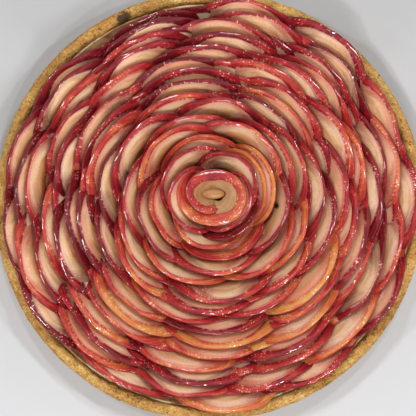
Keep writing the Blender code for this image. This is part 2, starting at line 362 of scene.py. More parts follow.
        edge = clamped(peel * 3.0 - 1.0 + (ripple - 0.5) * 0.9)
        border = maths("MAXIMUM", 1.0 - depth / self.border_width, 0.0) * (0.1 + clouds * 0.8)
        colour = mix(edge, mix(maths("MINIMUM", border, 0.6), flesh, skin), skin)
        # Painted shade: deep in the dark gaps, and on the petal and the bud by their shadow values, the flesh
        # goes near black
        deep = clamped((depth - self.painted_shade_from) / self.painted_shade_fade)
        colour = mix(maths("MINIMUM", hollow * deep * 2.5, 0.97), colour, linear(self.painted_shade))
        # Painted highlights: a dotted pale row along the skin's cut edge stands in for glints of the jelly
        painted_glint_row = clamped((ripple - 0.51) * 7.0, 0.7) * clamped((clouds - 0.36) * 4.0)
        colour = mix(seam * painted_glint_row, colour, linear(self.painted_glint_colour))

        relief = edge * (ripple + streak * 0.6) + (1.0 - edge) * (fibres * 0.3 + grain * 0.5)
        bump = add_node(tree, "ShaderNodeBump", {"Height": relief, "Strength": 0.7, "Distance": self.relief})
        wet = add_node(tree, "ShaderNodeBump", {"Height": ripple * 0.6 + clouds * 3.0, "Strength": 0.6,
                                                "Distance": self.coat_relief})
        shader = add_node(tree, "ShaderNodeBsdfPrincipled", {
            "Base Color": colour, "Roughness": self.roughness, "IOR": self.ior,
            "Specular IOR Level": self.gloss, "Normal": Term(bump),
            "Coat Weight": self.coat * (self.coat_on_flesh + edge * (1.0 - self.coat_on_flesh)),
            "Coat Roughness": self.coat_roughness, "Coat IOR": self.coat_ior, "Coat Normal": Term(wet),
            "Subsurface Weight": self.translucency, "Subsurface Radius": (1.0, 0.4, 0.2),
            "Subsurface Scale": self.translucent_reach})
        add_node(tree, "ShaderNodeOutputMaterial", {"Surface": Term(shader)})
        return material


@dataclass(frozen=True)
class Shortcrust:
    """Shortcrust pastry pressed by hand and baked dry.

    It is matt and sandy: pale gold with browner crumbs and a burnt spot where jelly boiled over. Its pores
    are darkened with painted shade.
    """

    name: str = "baked_shortcrust"
    light: str = "#E2C587"
    pale: str = "#C39C58"
    gold: str = "#AC7C3A"
    brown: str = "#724A22"
    pore_shade: str = "#5E3816"
    burnt: str = "#341A0E"
    burnt_place: Point = (-0.0480, 0.1042, 0.0256)
    burnt_size: float = 0.0050
    roughness: float = 0.82
    ior: float = 1.45
    relief: float = 0.0009
    # Baked unevenly over some 28 mm, in lumps of 4 mm and crumbs of 1 mm, with pores 2 mm apart
    bake_spacing: float = 0.028
    lump_spacing: float = 0.0042
    crumb_spacing: float = 0.0011
    pore_spacing: float = 0.0023
    # How much each of them changes the shade
    bake_contrast: float = 1.2
    lump_contrast: float = 0.9
    crumb_contrast: float = 1.7

    def build(self) -> bpy.types.Material:
        """Make the material.

        Returns:
            A material on Object coordinates.
        """
        material, tree = new_material(self.name)
        place = Term(add_node(tree, "ShaderNodeTexCoord"), "Object")
        broad, lumps, crumbs = (
            Term(add_node(tree, "ShaderNodeTexNoise",
                          {"Vector": place, "Scale": 1 / spacing, "Detail": 3.0, "Roughness": rough}), 0)
            for spacing, rough in ((self.bake_spacing, 0.5), (self.lump_spacing, 0.6),
                                   (self.crumb_spacing, 0.7)))
        pores = Term(add_node(tree, "ShaderNodeTexVoronoi",
                              {"Vector": place, "Scale": 1 / self.pore_spacing}), "Distance")
        shade = ((broad - 0.5) * self.bake_contrast + (lumps - 0.5) * self.lump_contrast
                 + (crumbs - 0.5) * self.crumb_contrast + 0.50)
        colour = ramp(tree, shade, ((0.0, self.brown), (0.36, self.gold), (0.7, self.pale),
                                    (1.0, self.light)))
        # Painted shade: the pores are sunk by the bump and coloured dark brown
        pit = clamped((0.60 - lumps * 0.8 - pores) * 4.0, 0.75)
        colour = mix(pit, colour, linear(self.pore_shade))
        offset = add_node(tree, "ShaderNodeVectorMath", {0: place, 1: self.burnt_place}, operation="DISTANCE")
        near = 1.0 - Term(offset, "Value") / self.burnt_size + (lumps - 0.5) * 1.5 + (crumbs - 0.5) * 1.5
        colour = mix(clamped(near * 3.0, 0.92), colour, linear(self.burnt))
        bump = add_node(tree, "ShaderNodeBump", {"Height": crumbs + lumps - pit, "Strength": 0.8,
                                                 "Distance": self.relief})
        shader = add_node(tree, "ShaderNodeBsdfPrincipled", {
            "Base Color": colour, "Roughness": self.roughness, "IOR": self.ior, "Normal": Term(bump)})
        add_node(tree, "ShaderNodeOutputMaterial", {"Surface": Term(shader)})
        return material


@dataclass(frozen=True)
class BakedCream:
    """Almond cream, baked firm and soaked with fruit juice: beige and shiny, with brown runs of syrup."""

    name: str = "baked_almond_cream"
    dry: str = "#EAD6AE"
    pale: str = "#E4CDA2"
    soaked: str = "#C79C66"
    syrup: str = "#96683A"
    roughness: float = 0.38
    ior: float = 1.42
    coat: float = 0.5
    coat_roughness: float = 0.12
    relief: float = 0.0006
    # Runs of syrup are some 9 mm apart and the ground almonds 1.2 mm across
    run_spacing: float = 0.009
    grain_spacing: float = 0.0012

    def build(self) -> bpy.types.Material:
        """Make the material.

        Returns:
            A material on Object coordinates.
        """
        material, tree = new_material(self.name)
        place = Term(add_node(tree, "ShaderNodeTexCoord"), "Object")
        runs, fine = (
            Term(add_node(tree, "ShaderNodeTexNoise", {
                "Vector": place, "Scale": 1 / spacing, "Detail": detail, "Distortion": distortion}), 0)
            for spacing, detail, distortion in ((self.run_spacing, 4.0, 1.2), (self.grain_spacing, 2.0, 0.0)))
        colour = ramp(tree, runs, ((0.30, self.syrup), (0.44, self.soaked), (0.56, self.pale),
                                   (1.0, self.dry)))
        bump = add_node(tree, "ShaderNodeBump", {"Height": fine + runs, "Strength": 0.3,
                                                 "Distance": self.relief})
        shader = add_node(tree, "ShaderNodeBsdfPrincipled", {
            "Base Color": colour, "Roughness": self.roughness, "IOR": self.ior, "Normal": Term(bump),
            "Coat Weight": self.coat, "Coat Roughness": self.coat_roughness})
        add_node(tree, "ShaderNodeOutputMaterial", {"Surface": Term(shader)})
        return material


@dataclass(frozen=True)
class PaleBoard:
    """A matt, pale grey painted board, slightly mottled, with painted light: paler towards the window."""

    name: str = "pale_painted_board"
    far: str = "#A2A3A5"
    near: str = "#C2C4C8"
    clouded: str = "#BABCC0"
    roughness: float = 0.75
    # Painted light: the colour pales from far to near over 0.3 m. The clouds are some 50 mm apart
    window_light_slope: float = 3.2
    cloud_spacing: float = 0.05

    def build(self) -> bpy.types.Material:
        """Make the material.

        Returns:
            A matt material on Object coordinates.
        """
        material, tree = new_material(self.name)
        place = Term(add_node(tree, "ShaderNodeTexCoord"), "Object")
        axes = add_node(tree, "ShaderNodeSeparateXYZ", {0: place})
        clouds = Term(add_node(tree, "ShaderNodeTexNoise",
                               {"Vector": place, "Scale": 1 / self.cloud_spacing, "Detail": 4.0}), 0)
        colour = ramp(tree, 0.5 - Term(axes, "Y") * self.window_light_slope, ((0.0, self.far), (1.0, self.near)))
        colour = mix(maths("MAXIMUM", (clouds - 0.5) * 1.5, 0.0), colour, linear(self.clouded))
        shader = add_node(tree, "ShaderNodeBsdfPrincipled",
                          {"Base Color": colour, "Roughness": self.roughness})
        add_node(tree, "ShaderNodeOutputMaterial", {"Surface": Term(shader)})
        return material


class GeometryTree:
    """A geometry node tree with named inputs, which is worked out once into a plain mesh."""

    def __init__(self, name: str) -> None:
        """Start the tree.

        Args:
            name: What the tree makes.
        """
        self.tree = bpy.data.node_groups.new(name, "GeometryNodeTree")
        self.identifiers: dict[str, str] = {}
        self.entry: bpy.types.Node | None = None

    def declare(self, **kinds: str) -> None:
        """Args:
            **kinds: Each input's name and Blender's name for its socket.
        """
        for name, kind in {"Base": "NodeSocketGeometry", **kinds, "Finish": "NodeSocketMaterial"}.items():
            made = self.tree.interface.new_socket(name=name, in_out="INPUT", socket_type=kind)
            self.identifiers[name] = made.identifier
        self.tree.interface.new_socket(name="Geometry", in_out="OUTPUT", socket_type="NodeSocketGeometry")
        self.entry = add_node(self.tree, "NodeGroupInput")

    def given(self, name: str) -> Term:
        """One of the tree's inputs."""
        return Term(self.entry, name)

    def attribute(self, name: str) -> Term:
        """A number that the geometry carries at every point."""
        node = add_node(self.tree, "GeometryNodeInputNamedAttribute", {"Name": name}, data_type="FLOAT")
        return Term(node, "Attribute")

    def store(self, geometry: Term, name: str, value: Term, kind: str = "FLOAT") -> Term:
        """Leave a value on every point under a name.

        Args:
            geometry: The geometry that gets it.
            name: The attribute's name.
            value: The value.
            kind: Blender's name for its type.

        Returns:
            The geometry that carries it.
        """
        node = add_node(self.tree, "GeometryNodeStoreNamedAttribute",
                        {"Geometry": geometry, "Name": name, "Value": value}, data_type=kind, domain="POINT")
        return Term(node, "Geometry")

    def close(self, geometry: Term) -> None:
        """End the tree: instances made real, and the finish set.

        Args:
            geometry: What the tree has made.
        """
        real = add_node(self.tree, "GeometryNodeRealizeInstances", {"Geometry": geometry})
        dressed = add_node(self.tree, "GeometryNodeSetMaterial",
                           {"Geometry": Term(real), "Material": self.given("Finish")})
        add_node(self.tree, "NodeGroupOutput", {"Geometry": Term(dressed)})

    def make(self, name: str, base: bpy.types.Mesh, **values) -> bpy.types.Object:
        """Work the tree out on a mesh and keep the result as a plain mesh.

        Args:
            name: The new piece's name.
            base: The mesh that the tree starts from.
            **values: The inputs' values, by name.

        Returns:
            The piece, at the origin and without a modifier.
        """
        worker = bpy.data.objects.new(name + "_base", base)
        bpy.context.scene.collection.objects.link(worker)
        modifier = worker.modifiers.new(self.tree.name, "NODES")
        modifier.node_group = self.tree
        for key, value in values.items():
            modifier[self.identifiers[key]] = value
        bpy.context.view_layer.update()
        graph = bpy.context.evaluated_depsgraph_get()
        mesh = bpy.data.meshes.new_from_object(worker.evaluated_get(graph))
        bpy.data.objects.remove(worker, do_unlink=True)
        bpy.data.meshes.remove(base)
        return add_piece(name, mesh)


def add_piece(name: str, mesh: bpy.types.Mesh, finish: bpy.types.Material | None = None) -> bpy.types.Object:
    """Put a mesh in the scene as a smooth piece at the origin.

    Args:
        name: The piece's name.
        mesh: Its mesh.
        finish: Its material, if the mesh has none yet.

    Returns:
        The piece.
    """
    mesh.name = name
    if finish is not None:
        mesh.materials.append(finish)
    mesh.shade_smooth()
    piece = bpy.data.objects.new(name, mesh)
    bpy.context.scene.collection.objects.link(piece)
    return piece


def outwards(mesh: bpy.types.Mesh) -> None:
    """Turn a closed mesh's faces out if it is inside out.

    Args:
        mesh: The mesh.
    """
    bm = bmesh.new()
    bm.from_mesh(mesh)
    if bm.calc_volume(signed=True) < 0:
        bmesh.ops.reverse_faces(bm, faces=bm.faces)
        bm.to_mesh(mesh)
    bm.free()


def loft(rows: Sequence[Sequence[Point]], ring: bool, **values: Sequence[Sequence[float]]) -> bpy.types.Mesh:
    """Join rows of points into a closed skin.

    Args:
        rows: Closed sections with as many points each, or open ones from pole to pole where they form a ring.
        ring: Whether the rows follow each other in a ring and their two ends close as flat discs.
        **values: Numbers that the points carry, as rows too.

    Returns:
        The mesh, with its faces out.
    """
    mesh = bpy.data.meshes.new("loft")
    count, wide = len(rows), len(rows[0])
    faces = []
    for i in range(count if ring else count - 1):
        for j in range(wide - 1 if ring else wide):
            here, there = i * wide, (i + 1) % count * wide
            faces.append((here + j, there + j, there + (j + 1) % wide, here + (j + 1) % wide))
    if ring:
        faces += [[i * wide for i in range(count)], [i * wide + wide - 1 for i in range(count)][::-1]]
    else:
        faces += [list(range(wide)), [(count - 1) * wide + j for j in range(wide)][::-1]]
    mesh.from_pydata([point for row in rows for point in row], [], faces)
    for name, table in values.items():
        made = mesh.attributes.new(name, "FLOAT", "POINT")
        made.data.foreach_set("value", [value for row in table for value in row])
    outwards(mesh)
    return mesh


def ragged(place: Point, size: float, seed: float) -> float:
    """Smooth noise at a point.

    Args:
        place: The point.
        size: How far apart its hills are.
        seed: A number that picks the pattern.

    Returns:
        A value from about -1 to 1.
    """
    return noise.noise(Vector(place) / size + Vector((seed, seed * 1.7, -seed)))


@dataclass
class PastryShell:
    """The shortcrust shell: a floor, a plain upright wall and a sandy rim."""

    radius: float = 0.120
    height: float = 0.027
    rim_width: float = 0.0056
    wall_at_floor: float = 0.0088
    floor_thickness: float = 0.0045
    foot_rounding: float = 0.0022
    rim_wave: float = 0.0004
    sides: int = 960
    crack_azimuth: float = 146.0
    crack_width: float = 0.55
    crack_depth: float = 0.001
    hidden_radius: float = 0.0200
    lump_size: float = 0.0060
    fine_lump_size: float = 0.0024
    pit_size: float = 0.0016
    dent_size: float = 0.0042
    crumb_density: float = 7.0e5
    crumb_drop: float = 0.0026
    smallest_crumb: float = 0.16 * MM
    largest_crumb: float = 0.42 * MM
    finish: Shortcrust = field(default_factory=Shortcrust)

    def wave(self, azimuth: float) -> float:
        """Hand-pressed unevenness of the rim at an azimuth, as a share of rim_wave."""
        angle = math.radians(azimuth)
        return math.sin(5 * angle + 0.6) * 0.5 + math.sin(11 * angle + 2.1) * 0.3 + math.sin(23 * angle) * 0.2

    def corners(self, azimuth: float) -> list[tuple[float, float, int, float]]:
        """The outline's corners at an azimuth.

        Args:
            azimuth: Where the shell is cut.

        Returns:
            Radius, height, how many steps lead there, and how rough it is from there on.
        """
        wave = self.rim_wave * self.wave(azimuth)
        top = self.height - self.rim_wave + wave
        inner = self.radius - self.rim_width + wave
        return [
            (self.hidden_radius, self.floor_thickness, 1, 0.0),
            (self.radius - self.wall_at_floor, self.floor_thickness + 0.001, 3, 0.2),
            (inner - 0.0004, top - 0.0022, 14, 0.8),
            (inner + 0.0004, top - 0.0008, 4, 1.0),
            (inner + 0.0014, top - 0.0001, 4, 1.0),
            (self.radius - self.rim_width * 0.45, top, 6, 1.0),
            (self.radius - 0.0012, top - 0.0004, 6, 1.0),
            (self.radius - 0.0003, top - 0.0012, 3, 0.9),
            (self.radius, top - 0.0026, 3, 0.6),
            (self.radius, self.foot_rounding, 24, 0.45),
            (self.radius - self.foot_rounding * 0.4, self.foot_rounding * 0.35, 3, 0.2),
            (self.radius - self.foot_rounding, 0.0, 3, 0.0),
            (self.hidden_radius, 0.0, 2, 0.0),
        ]

    def section(self, azimuth: float) -> list[Point]:
        """The shell's outline at an azimuth, with its lumps, pits and crack.

        Args:
            azimuth: Where the shell is cut.

        Returns:
            The outline's points, from the floor's middle over the rim to the underside's middle.
        """
        angle = math.radians(azimuth)
        crack = math.exp(-((azimuth - self.crack_azimuth) / self.crack_width) ** 2)
        points = []
        corners = self.corners(azimuth)
        for (r0, z0, _, rough0), (r1, z1, steps, rough1) in zip(corners, corners[1:]):
            for step in range(steps):
                share = step / steps
                radius, z = r0 + (r1 - r0) * share, z0 + (z1 - z0) * share
                rough = rough0 + (rough1 - rough0) * share
                place = (radius * math.cos(angle), radius * math.sin(angle), z)
                lump = (0.35 * ragged(place, self.lump_size, 3.0)
                        + 0.30 * ragged(place, self.fine_lump_size, 9.0))
                pit = max(0.0, ragged(place, self.pit_size, 21.0) - 0.30)
                rise = (lump - 1.1 * pit) * MM * rough - self.crack_depth * crack * max(0.0, rough - 0.5)
                middle = self.radius - 0.5 * self.rim_width
                inward = blend(middle + 0.002, middle - 0.002, radius)
                side = 1.0 - 2.0 * inward
                radius += side * rise * 1.1 if z < self.height - 0.0012 else side * rise * 0.4
                radius -= 0.7 * MM * inward * rough * (0.5 + ragged(place, self.dent_size, 31.0))
                z += rise if z > self.height - 0.006 else 0.0
                points.append((radius * math.cos(angle), radius * math.sin(angle), z))
        return points

    def build(self) -> bpy.types.Object:
        """Make the shell.

        Returns:
            The piece.
        """
        rows = [self.section(360.0 * step / self.sides) for step in range(self.sides)]
        piece = add_piece("shortcrust_shell", loft(rows, True), self.finish.build())
        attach(piece, "root")
        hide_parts("pastry_shell")
        return piece

    def scatter_crumbs(self, shell: bpy.types.Object) -> bpy.types.Object:
        """Scatter loose sandy crumbs over the rim.

        Args:
            shell: The finished shell.

        Returns:
            The crumbs as one piece.
        """
        tree = GeometryTree("sandy_crumbs")
        tree.declare(Density="NodeSocketFloat", Smallest="NodeSocketFloat", Largest="NodeSocketFloat",
                     Lowest="NodeSocketFloat", Seed="NodeSocketInt")
        place = Term(add_node(tree.tree, "GeometryNodeInputPosition"))
        level = Term(add_node(tree.tree, "ShaderNodeSeparateXYZ", {0: place}), "Z")
        high = add_node(tree.tree, "FunctionNodeCompare", {"A": level, "B": tree.given("Lowest")},
                        data_type="FLOAT", operation="GREATER_THAN")
        points = add_node(tree.tree, "GeometryNodeDistributePointsOnFaces",
                          {"Mesh": tree.given("Base"), "Selection": Term(high, "Result"),
                           "Density": tree.given("Density"), "Seed": tree.given("Seed")})
        crumb = add_node(tree.tree, "GeometryNodeMeshIcoSphere", {"Radius": 1.0, "Subdivisions": 1})
        turn = add_node(tree.tree, "FunctionNodeRandomValue",
                        {"Min": (0.0, 0.0, 0.0), "Max": (6.28, 6.28, 6.28), "Seed": 5},
                        data_type="FLOAT_VECTOR")
        size = add_node(tree.tree, "FunctionNodeRandomValue",
                        {"Min": tree.given("Smallest"), "Max": tree.given("Largest"), "Seed": 7},
                        data_type="FLOAT")
        spread = add_node(tree.tree, "GeometryNodeInstanceOnPoints",
                          {"Points": Term(points, "Points"), "Instance": Term(crumb, "Mesh"),
                           "Rotation": Term(turn, "Value"), "Scale": Term(size, "Value")})
        tree.close(Term(spread, "Instances"))
        crumbs = tree.make("sandy_crumbs", shell.data.copy(), Density=self.crumb_density,
                           Smallest=self.smallest_crumb, Largest=self.largest_crumb,
                           Lowest=self.height - self.crumb_drop, Seed=4, Finish=shell.data.materials[0])
        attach(crumbs, "root")
        return crumbs


@dataclass
class Filling:
    """The baked cream under the fruit, with a bank that climbs the shell's wall."""

    top: float = 0.0130
    bank_top: float = 0.0215
    bank_width: float = 0.0062
    floor: float = 0.0048
    edge: float = 0.1133
    hidden_radius: float = 0.020
    bank_steps: int = 14
    sides: int = 480
    finish: BakedCream = field(default_factory=BakedCream)

    def section(self, azimuth: float) -> list[Point]:
        """The filling's outline at an azimuth.

        Args:
            azimuth: Where the filling is cut.

        Returns:
            The outline's points, from the top's middle to the underside's middle.
        """
        angle = math.radians(azimuth)
        points = []
        foot = self.edge - self.bank_width
        outline = [(self.hidden_radius, self.top), (foot - 0.004, self.top)]
        for step in range(self.bank_steps + 1):
            share = step / self.bank_steps
            rise = (self.bank_top - self.top) * (share ** 1.6)
            outline.append((foot + (self.bank_width - 0.0008) * share, self.top + rise))
        outline += [(self.edge, self.bank_top - 0.0008), (self.edge - 0.0018, self.floor + 0.0012),
                    (self.edge - 0.0030, self.floor), (self.hidden_radius, self.floor)]
        for radius, z in outline:
            place = (radius * math.cos(angle), radius * math.sin(angle), z)
            if z > self.top + 0.0001:
                z += 0.5 * MM * ragged(place, 0.009, 14.0) + 0.25 * MM * ragged(place, 0.003, 5.0)
            points.append((place[0], place[1], z))
        return points

    def build(self) -> bpy.types.Object:
        """Make the filling.

        Returns:
            The piece.
        """
        rows = [self.section(360.0 * step / self.sides) for step in range(self.sides)]
        piece = add_piece("baked_filling", loft(rows, True), self.finish.build())
        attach(piece, "root")
        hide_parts("filling")
        return piece


@dataclass(frozen=True)
class Patch:
    """A patch of the rosette whose skins are more golden, or redder, than the rest."""

    azimuth: float
    radius: float
    spread: float
    gold: float

    def at(self, x: float, y: float) -> float:
        """How much gold the patch adds at a point.

        Args:
            x: The point's x.
            y: Its y.

        Returns:
            The gold, less than nothing where the patch is redder.
        """
        angle = math.radians(self.azimuth)
        gap = math.hypot(x - self.radius * math.cos(angle), y - self.radius * math.sin(angle))
        return self.gold * math.exp(-(gap / self.spread) ** 2)


@dataclass(frozen=True)
class Hollow:
    """A dark gap between slices, drawn out along the turn and darkened inside with painted shade."""

    azimuth: float
    radius: float
    length: float
    width: float


@dataclass(frozen=True)
class LooseSlice:
    """A slice near the eye: its place, swing and curl, its skin's gold and how far down the skin comes."""

    turn: int
    letter: str
    azimuth: float
    reach: float
    swing: float
    curl: float
    tone: float
    skin_depth: float


@dataclass(frozen=True)
class SliceShape:
    """One slice: a slab cut from the cheek of a round fruit and stood on its straight cut side."""

    fruit: float = 0.0370
    cut_depth: float = 0.0090
    thickness: float = 0.0020
    lowest_edge: float = 0.0028
    foot: float = 0.0006
    stations: int = 88
    section_points: int = 28
    sizes: tuple[float, float] = (0.97, 1.04)
    slides: tuple[float, float] = (-0.0022, 0.0018)
    rolls: tuple[float, float] = (-0.05, 0.05)
    # What else differs from slice to slice: its name, lowest and highest value, and their unit
    varied: tuple[tuple[str, float, float, float], ...] = (
        ("seed", 0.0, 50.0, 1.0), ("tilt", -0.045, 0.045, 1.0), ("swirl", -1.0, 1.3, MM),
        ("thick", 0.85, 1.2, 1.0), ("blush", 0.15, 1.0, 1.0), ("bevel", -0.6, 4.0, MM),
        ("flare_near", 7.0, 19.0, MM), ("flare_far", 7.0, 19.0, MM), ("rim", -0.5, 0.55, 1.0),
    )
    ground_tones: tuple[float, float] = (0.0, 0.50)
    uneven_tones: tuple[float, float] = (-0.14, 0.14)
    gilded_from: float = 0.12
    loose_gilded_from: float = 0.62
    loose_rim: float = 0.1
    loose_flare: float = 4.0 * MM


@dataclass(frozen=True)
class ShortSlice:
    """The short slice behind each crossing of two slices of a turn, and the ranges that it is drawn from."""

    first_seed: int = 5000
    fruit: tuple[float, float] = (0.028, 0.031)
    lowest_crossing: float = 0.013
    rise: tuple[float, float] = (0.0008, 0.0037)
    shift: tuple[float, float] = (-0.15, 0.15)
    roll: tuple[float, float] = (-0.16, 0.16)
    out_mm: tuple[float, float] = (0.9, 2.1)
    skin_mm: tuple[float, float] = (3.0, 8.0)


@dataclass(frozen=True)
class Rosette:
    """How the turns of slices stand, reach and lean, where the fruit is golden or red, and where painted
    shade darkens the gaps between the slices.
    """

    eye: tuple[float, float] = (0.0017, 0.0072)
    outer_reach: float = 0.1132
    pitch: float = 0.00648
    floor: float = 0.0133
    lean_outer: float = 27.0
    lean_inner: float = 13.0
    lean_from: float = 0.016
    lean_to: float = 0.080
    round_the_eye: float = 0.0220
    round_the_shell: float = 0.0360
    swing: float = 0.0011
    curl: float = -0.0032
    open_turns: int = 10
    rim_turns: int = 4
    curl_from: float = 0.030
    curl_to: float = 0.085
    tone_share: float = 0.8
    short: ShortSlice = ShortSlice()
    rim_reach: tuple[tuple[float, float], ...] = (
        (20, -0.0008), (55, 0.0022), (80, 0.0016), (106, -0.0012), (130, -0.0030), (160, 0.0006),
        (188, 0.0024), (215, 0.0), (250, -0.0016), (275, 0.0006), (302, -0.0012), (340, 0.0022),
    )
    patches: tuple[Patch, ...] = (
        Patch(168, 0.082, 0.012, 0.45), Patch(124, 0.085, 0.012, 0.40), Patch(69, 0.074, 0.010, 0.50),
        Patch(45, 0.071, 0.009, 0.40), Patch(64, 0.095, 0.010, 0.45), Patch(31, 0.089, 0.008, 0.55),
        Patch(343, 0.107, 0.009, 0.45), Patch(318, 0.086, 0.012, 0.28), Patch(292, 0.081, 0.014, 0.55),
        Patch(310, 0.086, 0.024, 0.18), Patch(335, 0.060, 0.026, 0.18), Patch(255, 0.070, 0.020, 0.20),
        Patch(323, 0.074, 0.010, 0.18), Patch(341, 0.074, 0.007, 0.48), Patch(229, 0.080, 0.010, 0.35),
        Patch(223, 0.063, 0.016, 0.45), Patch(285, 0.038, 0.016, 0.45), Patch(228, 0.107, 0.008, 0.45),
        Patch(199, 0.106, 0.008, 0.35), Patch(112, 0.046, 0.016, 0.40), Patch(20, 0.046, 0.018, 0.35),
        Patch(165, 0.044, 0.012, 0.25), Patch(62, 0.044, 0.010, 0.20), Patch(185, 0.079, 0.006, -0.30),
        Patch(228, 0.104, 0.006, -0.25), Patch(166, 0.110, 0.010, -0.20), Patch(350, 0.097, 0.010, -0.15),
    )
    hollows: tuple[Hollow, ...] = (
        Hollow(141.5, 0.0940, 0.0055, 0.0013), Hollow(250, 0.1112, 0.0050, 0.0009),
        Hollow(240, 0.0408, 0.0028, 0.0012), Hollow(222, 0.0380, 0.0022, 0.0011),
        Hollow(115, 0.0324, 0.0034, 0.0012), Hollow(0, 0.0375, 0.0032, 0.0011),
        Hollow(255, 0.0268, 0.0034, 0.0010), Hollow(345, 0.0850, 0.0060, 0.0010),
        Hollow(52, 0.0950, 0.0060, 0.0010), Hollow(37, 0.1010, 0.0075, 0.0011),
        Hollow(62, 0.0700, 0.0045, 0.0010), Hollow(158, 0.0500, 0.0040, 0.0010),
    )

    def gold(self, x: float, y: float) -> float:
        """How golden the skin is at a point, from 0, crimson, to 1."""
        side = max(-0.04, 0.06 + (0.15 * x - 0.17 * y) / self.outer_reach)
        return min(max(side + 0.75 * sum(patch.at(x, y) for patch in self.patches), -0.3), 0.46)


@dataclass
class Turn:
    """One turn of slices, or a single loose one, on its own cone."""

    index: int
    reach: float
    azimuths: tuple[float, ...]
    rosette: Rosette
    shape: SliceShape
    size: float = 1.0
    swing: float = 0.0011
    curl: float = 0.0
    splay: float = 0.0012
    loose: LooseSlice | None = None

    def __post_init__(self) -> None:
        """Work out the cone."""
        rosette = self.rosette
        self.fruit = self.shape.fruit * self.size
        self.height = self.fruit - self.shape.cut_depth
        opened = blend(rosette.lean_from, rosette.lean_to, self.reach)
        self.lean = math.radians(rosette.lean_inner + (rosette.lean_outer - rosette.lean_inner) * opened)
        slid = blend(rosette.round_the_eye, rosette.round_the_shell, self.reach)
        slid = slid * self.reach / rosette.outer_reach
        self.centre = (rosette.eye[0] * (1.0 - slid), rosette.eye[1] * (1.0 - slid))
        self.rim_share = max(0.0, 1.0 - self.index / rosette.rim_turns)
        self.foot_radius = self.reach - self.height * math.sin(self.lean)

    def bulge(self, azimuth: float) -> float:
        """How much further out the turn stands at an azimuth."""
        return around(self.rosette.rim_reach, azimuth) * self.rim_share

    def row(self, rng: random.Random, azimuth: float, fruit: float, slide: float, roll: float, out: float
            ) -> dict[str, float]:
        """Draw one slice's sizes and tones.

        Args:
            rng: The slice's own random numbers.
            azimuth: Where its middle stands.
            fruit: Its fruit's radius.
            slide: How much higher than its fellows it stands.
            roll: How much it rolls to one side, as a slope.
            out: How far out of its turn it stands.

        Returns:
            Its named numbers.
        """
        half = math.sqrt(fruit ** 2 - self.shape.cut_depth ** 2)
        middle = self.foot_radius + self.bulge(azimuth) + 0.5 * self.height * math.sin(self.lean)
        reach = math.degrees(half / middle)
        row = {"azimuth": math.radians(azimuth), "fruit": fruit, "slide": slide, "roll": roll,
               "middle": middle, "offset": out}
        for name, low, high, unit in self.shape.varied:
            row[name] = rng.uniform(low, high) * unit
        row["rim"] = max(0.0, row["rim"])
        ground = rng.uniform(*self.shape.ground_tones)
        for place, side in (("near", -1.0), ("mid", 0.0), ("far", 1.0)):
            angle = math.radians(azimuth + reach * side * self.rosette.tone_share)
            gold = self.rosette.gold(self.reach * math.cos(angle) + self.centre[0],
                                     self.reach * math.sin(angle) + self.centre[1])
            row["tone_" + place] = ground + gold + rng.uniform(*self.shape.uneven_tones)
            row["gild_" + place] = max(0.0, gold - self.shape.gilded_from)
            row["bulge_" + place] = self.bulge(azimuth + reach * side)
        if self.loose is not None:
            row["bevel"], row["rim"] = self.loose.skin_depth, self.shape.loose_rim
            row["swirl"] = row["tilt"] = 0.0
            row["flare_near"] = row["flare_far"] = self.shape.loose_flare
            for place, shift in (("near", 0.03), ("mid", 0.0), ("far", -0.03)):
                row["tone_" + place] = self.loose.tone + shift
                row["gild_" + place] = max(0.0, self.loose.tone - self.shape.loose_gilded_from)
        return row

    def slices(self) -> list[dict[str, float]]:
        """Draw every slice of the turn, and a short one behind each place where two of them cross.

        Returns:
            One row of named numbers for each slice.
        """
        rows = []
        for number, azimuth in enumerate(self.azimuths):
            rng = random.Random(100 * self.index + number)
            fruit = self.fruit * rng.uniform(*self.shape.sizes)
            slide, roll = rng.uniform(*self.shape.slides), rng.uniform(*self.shape.rolls)
            rows.append(self.row(rng, azimuth, fruit, slide, roll, 0.0))
        if self.index >= self.rosette.open_turns:
            return rows
        closed = (*self.azimuths, self.azimuths[0] + 360)
        short = self.rosette.short
        for number, (here, there) in enumerate(zip(closed, closed[1:])):
            rng = random.Random(short.first_seed + 100 * self.index + number)
            fruit = rng.uniform(*short.fruit)
            apart = 0.5 * math.radians(there - here) * rows[number]["middle"]
            cut = self.shape.cut_depth
            crossing = math.sqrt(max(self.fruit ** 2 - apart ** 2, cut ** 2)) - cut
            slide = max(crossing, short.lowest_crossing) + rng.uniform(*short.rise) - (fruit - cut)
            azimuth = 0.5 * (here + there) + rng.uniform(*short.shift) * (there - here)
            roll, out = rng.uniform(*short.roll), rng.uniform(*short.out_mm) * MM
            row = self.row(rng, azimuth, fruit, slide, roll, out)
            row["bevel"] = rng.uniform(*short.skin_mm) * MM
            rows.append(row)
        return rows

    def seeds(self) -> bpy.types.Mesh:
        """Put the slices' numbers where the tree can read them.

        Returns:
            A mesh of one point for each slice, which carries its numbers.
        """
        rows = self.slices()
        mesh = bpy.data.meshes.new("slices")
        mesh.from_pydata([(0.0, 0.0, 0.0)] * len(rows), [], [])
        for name in rows[0]:
            made = mesh.attributes.new(name, "FLOAT", "POINT")
            made.data.foreach_set("value", [row[name] for row in rows])
        return mesh

    def build(self, tree: GeometryTree, name: str, node: str, slot: Slot, finish: bpy.types.Material
              ) -> bpy.types.Object:
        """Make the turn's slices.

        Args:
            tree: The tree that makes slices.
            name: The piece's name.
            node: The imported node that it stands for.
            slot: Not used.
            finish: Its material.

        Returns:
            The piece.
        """
        piece = tree.make(name, self.seeds(), **{
            "Foot radius": self.foot_radius, "Lean": self.lean, "Centre X": self.centre[0],
            "Centre Y": self.centre[1], "Floor": self.rosette.floor, "Cut depth": self.shape.cut_depth,
            "Splay": self.splay, "Thickness": self.shape.thickness, "Swing": self.swing, "Curl": self.curl,
            "Lowest edge": self.shape.lowest_edge, "Foot": self.shape.foot, "Stations": self.shape.stations,
            "Section points": self.shape.section_points, "Finish": finish})
        outwards(piece.data)
        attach(piece, "root")
        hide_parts(node)
        return piece


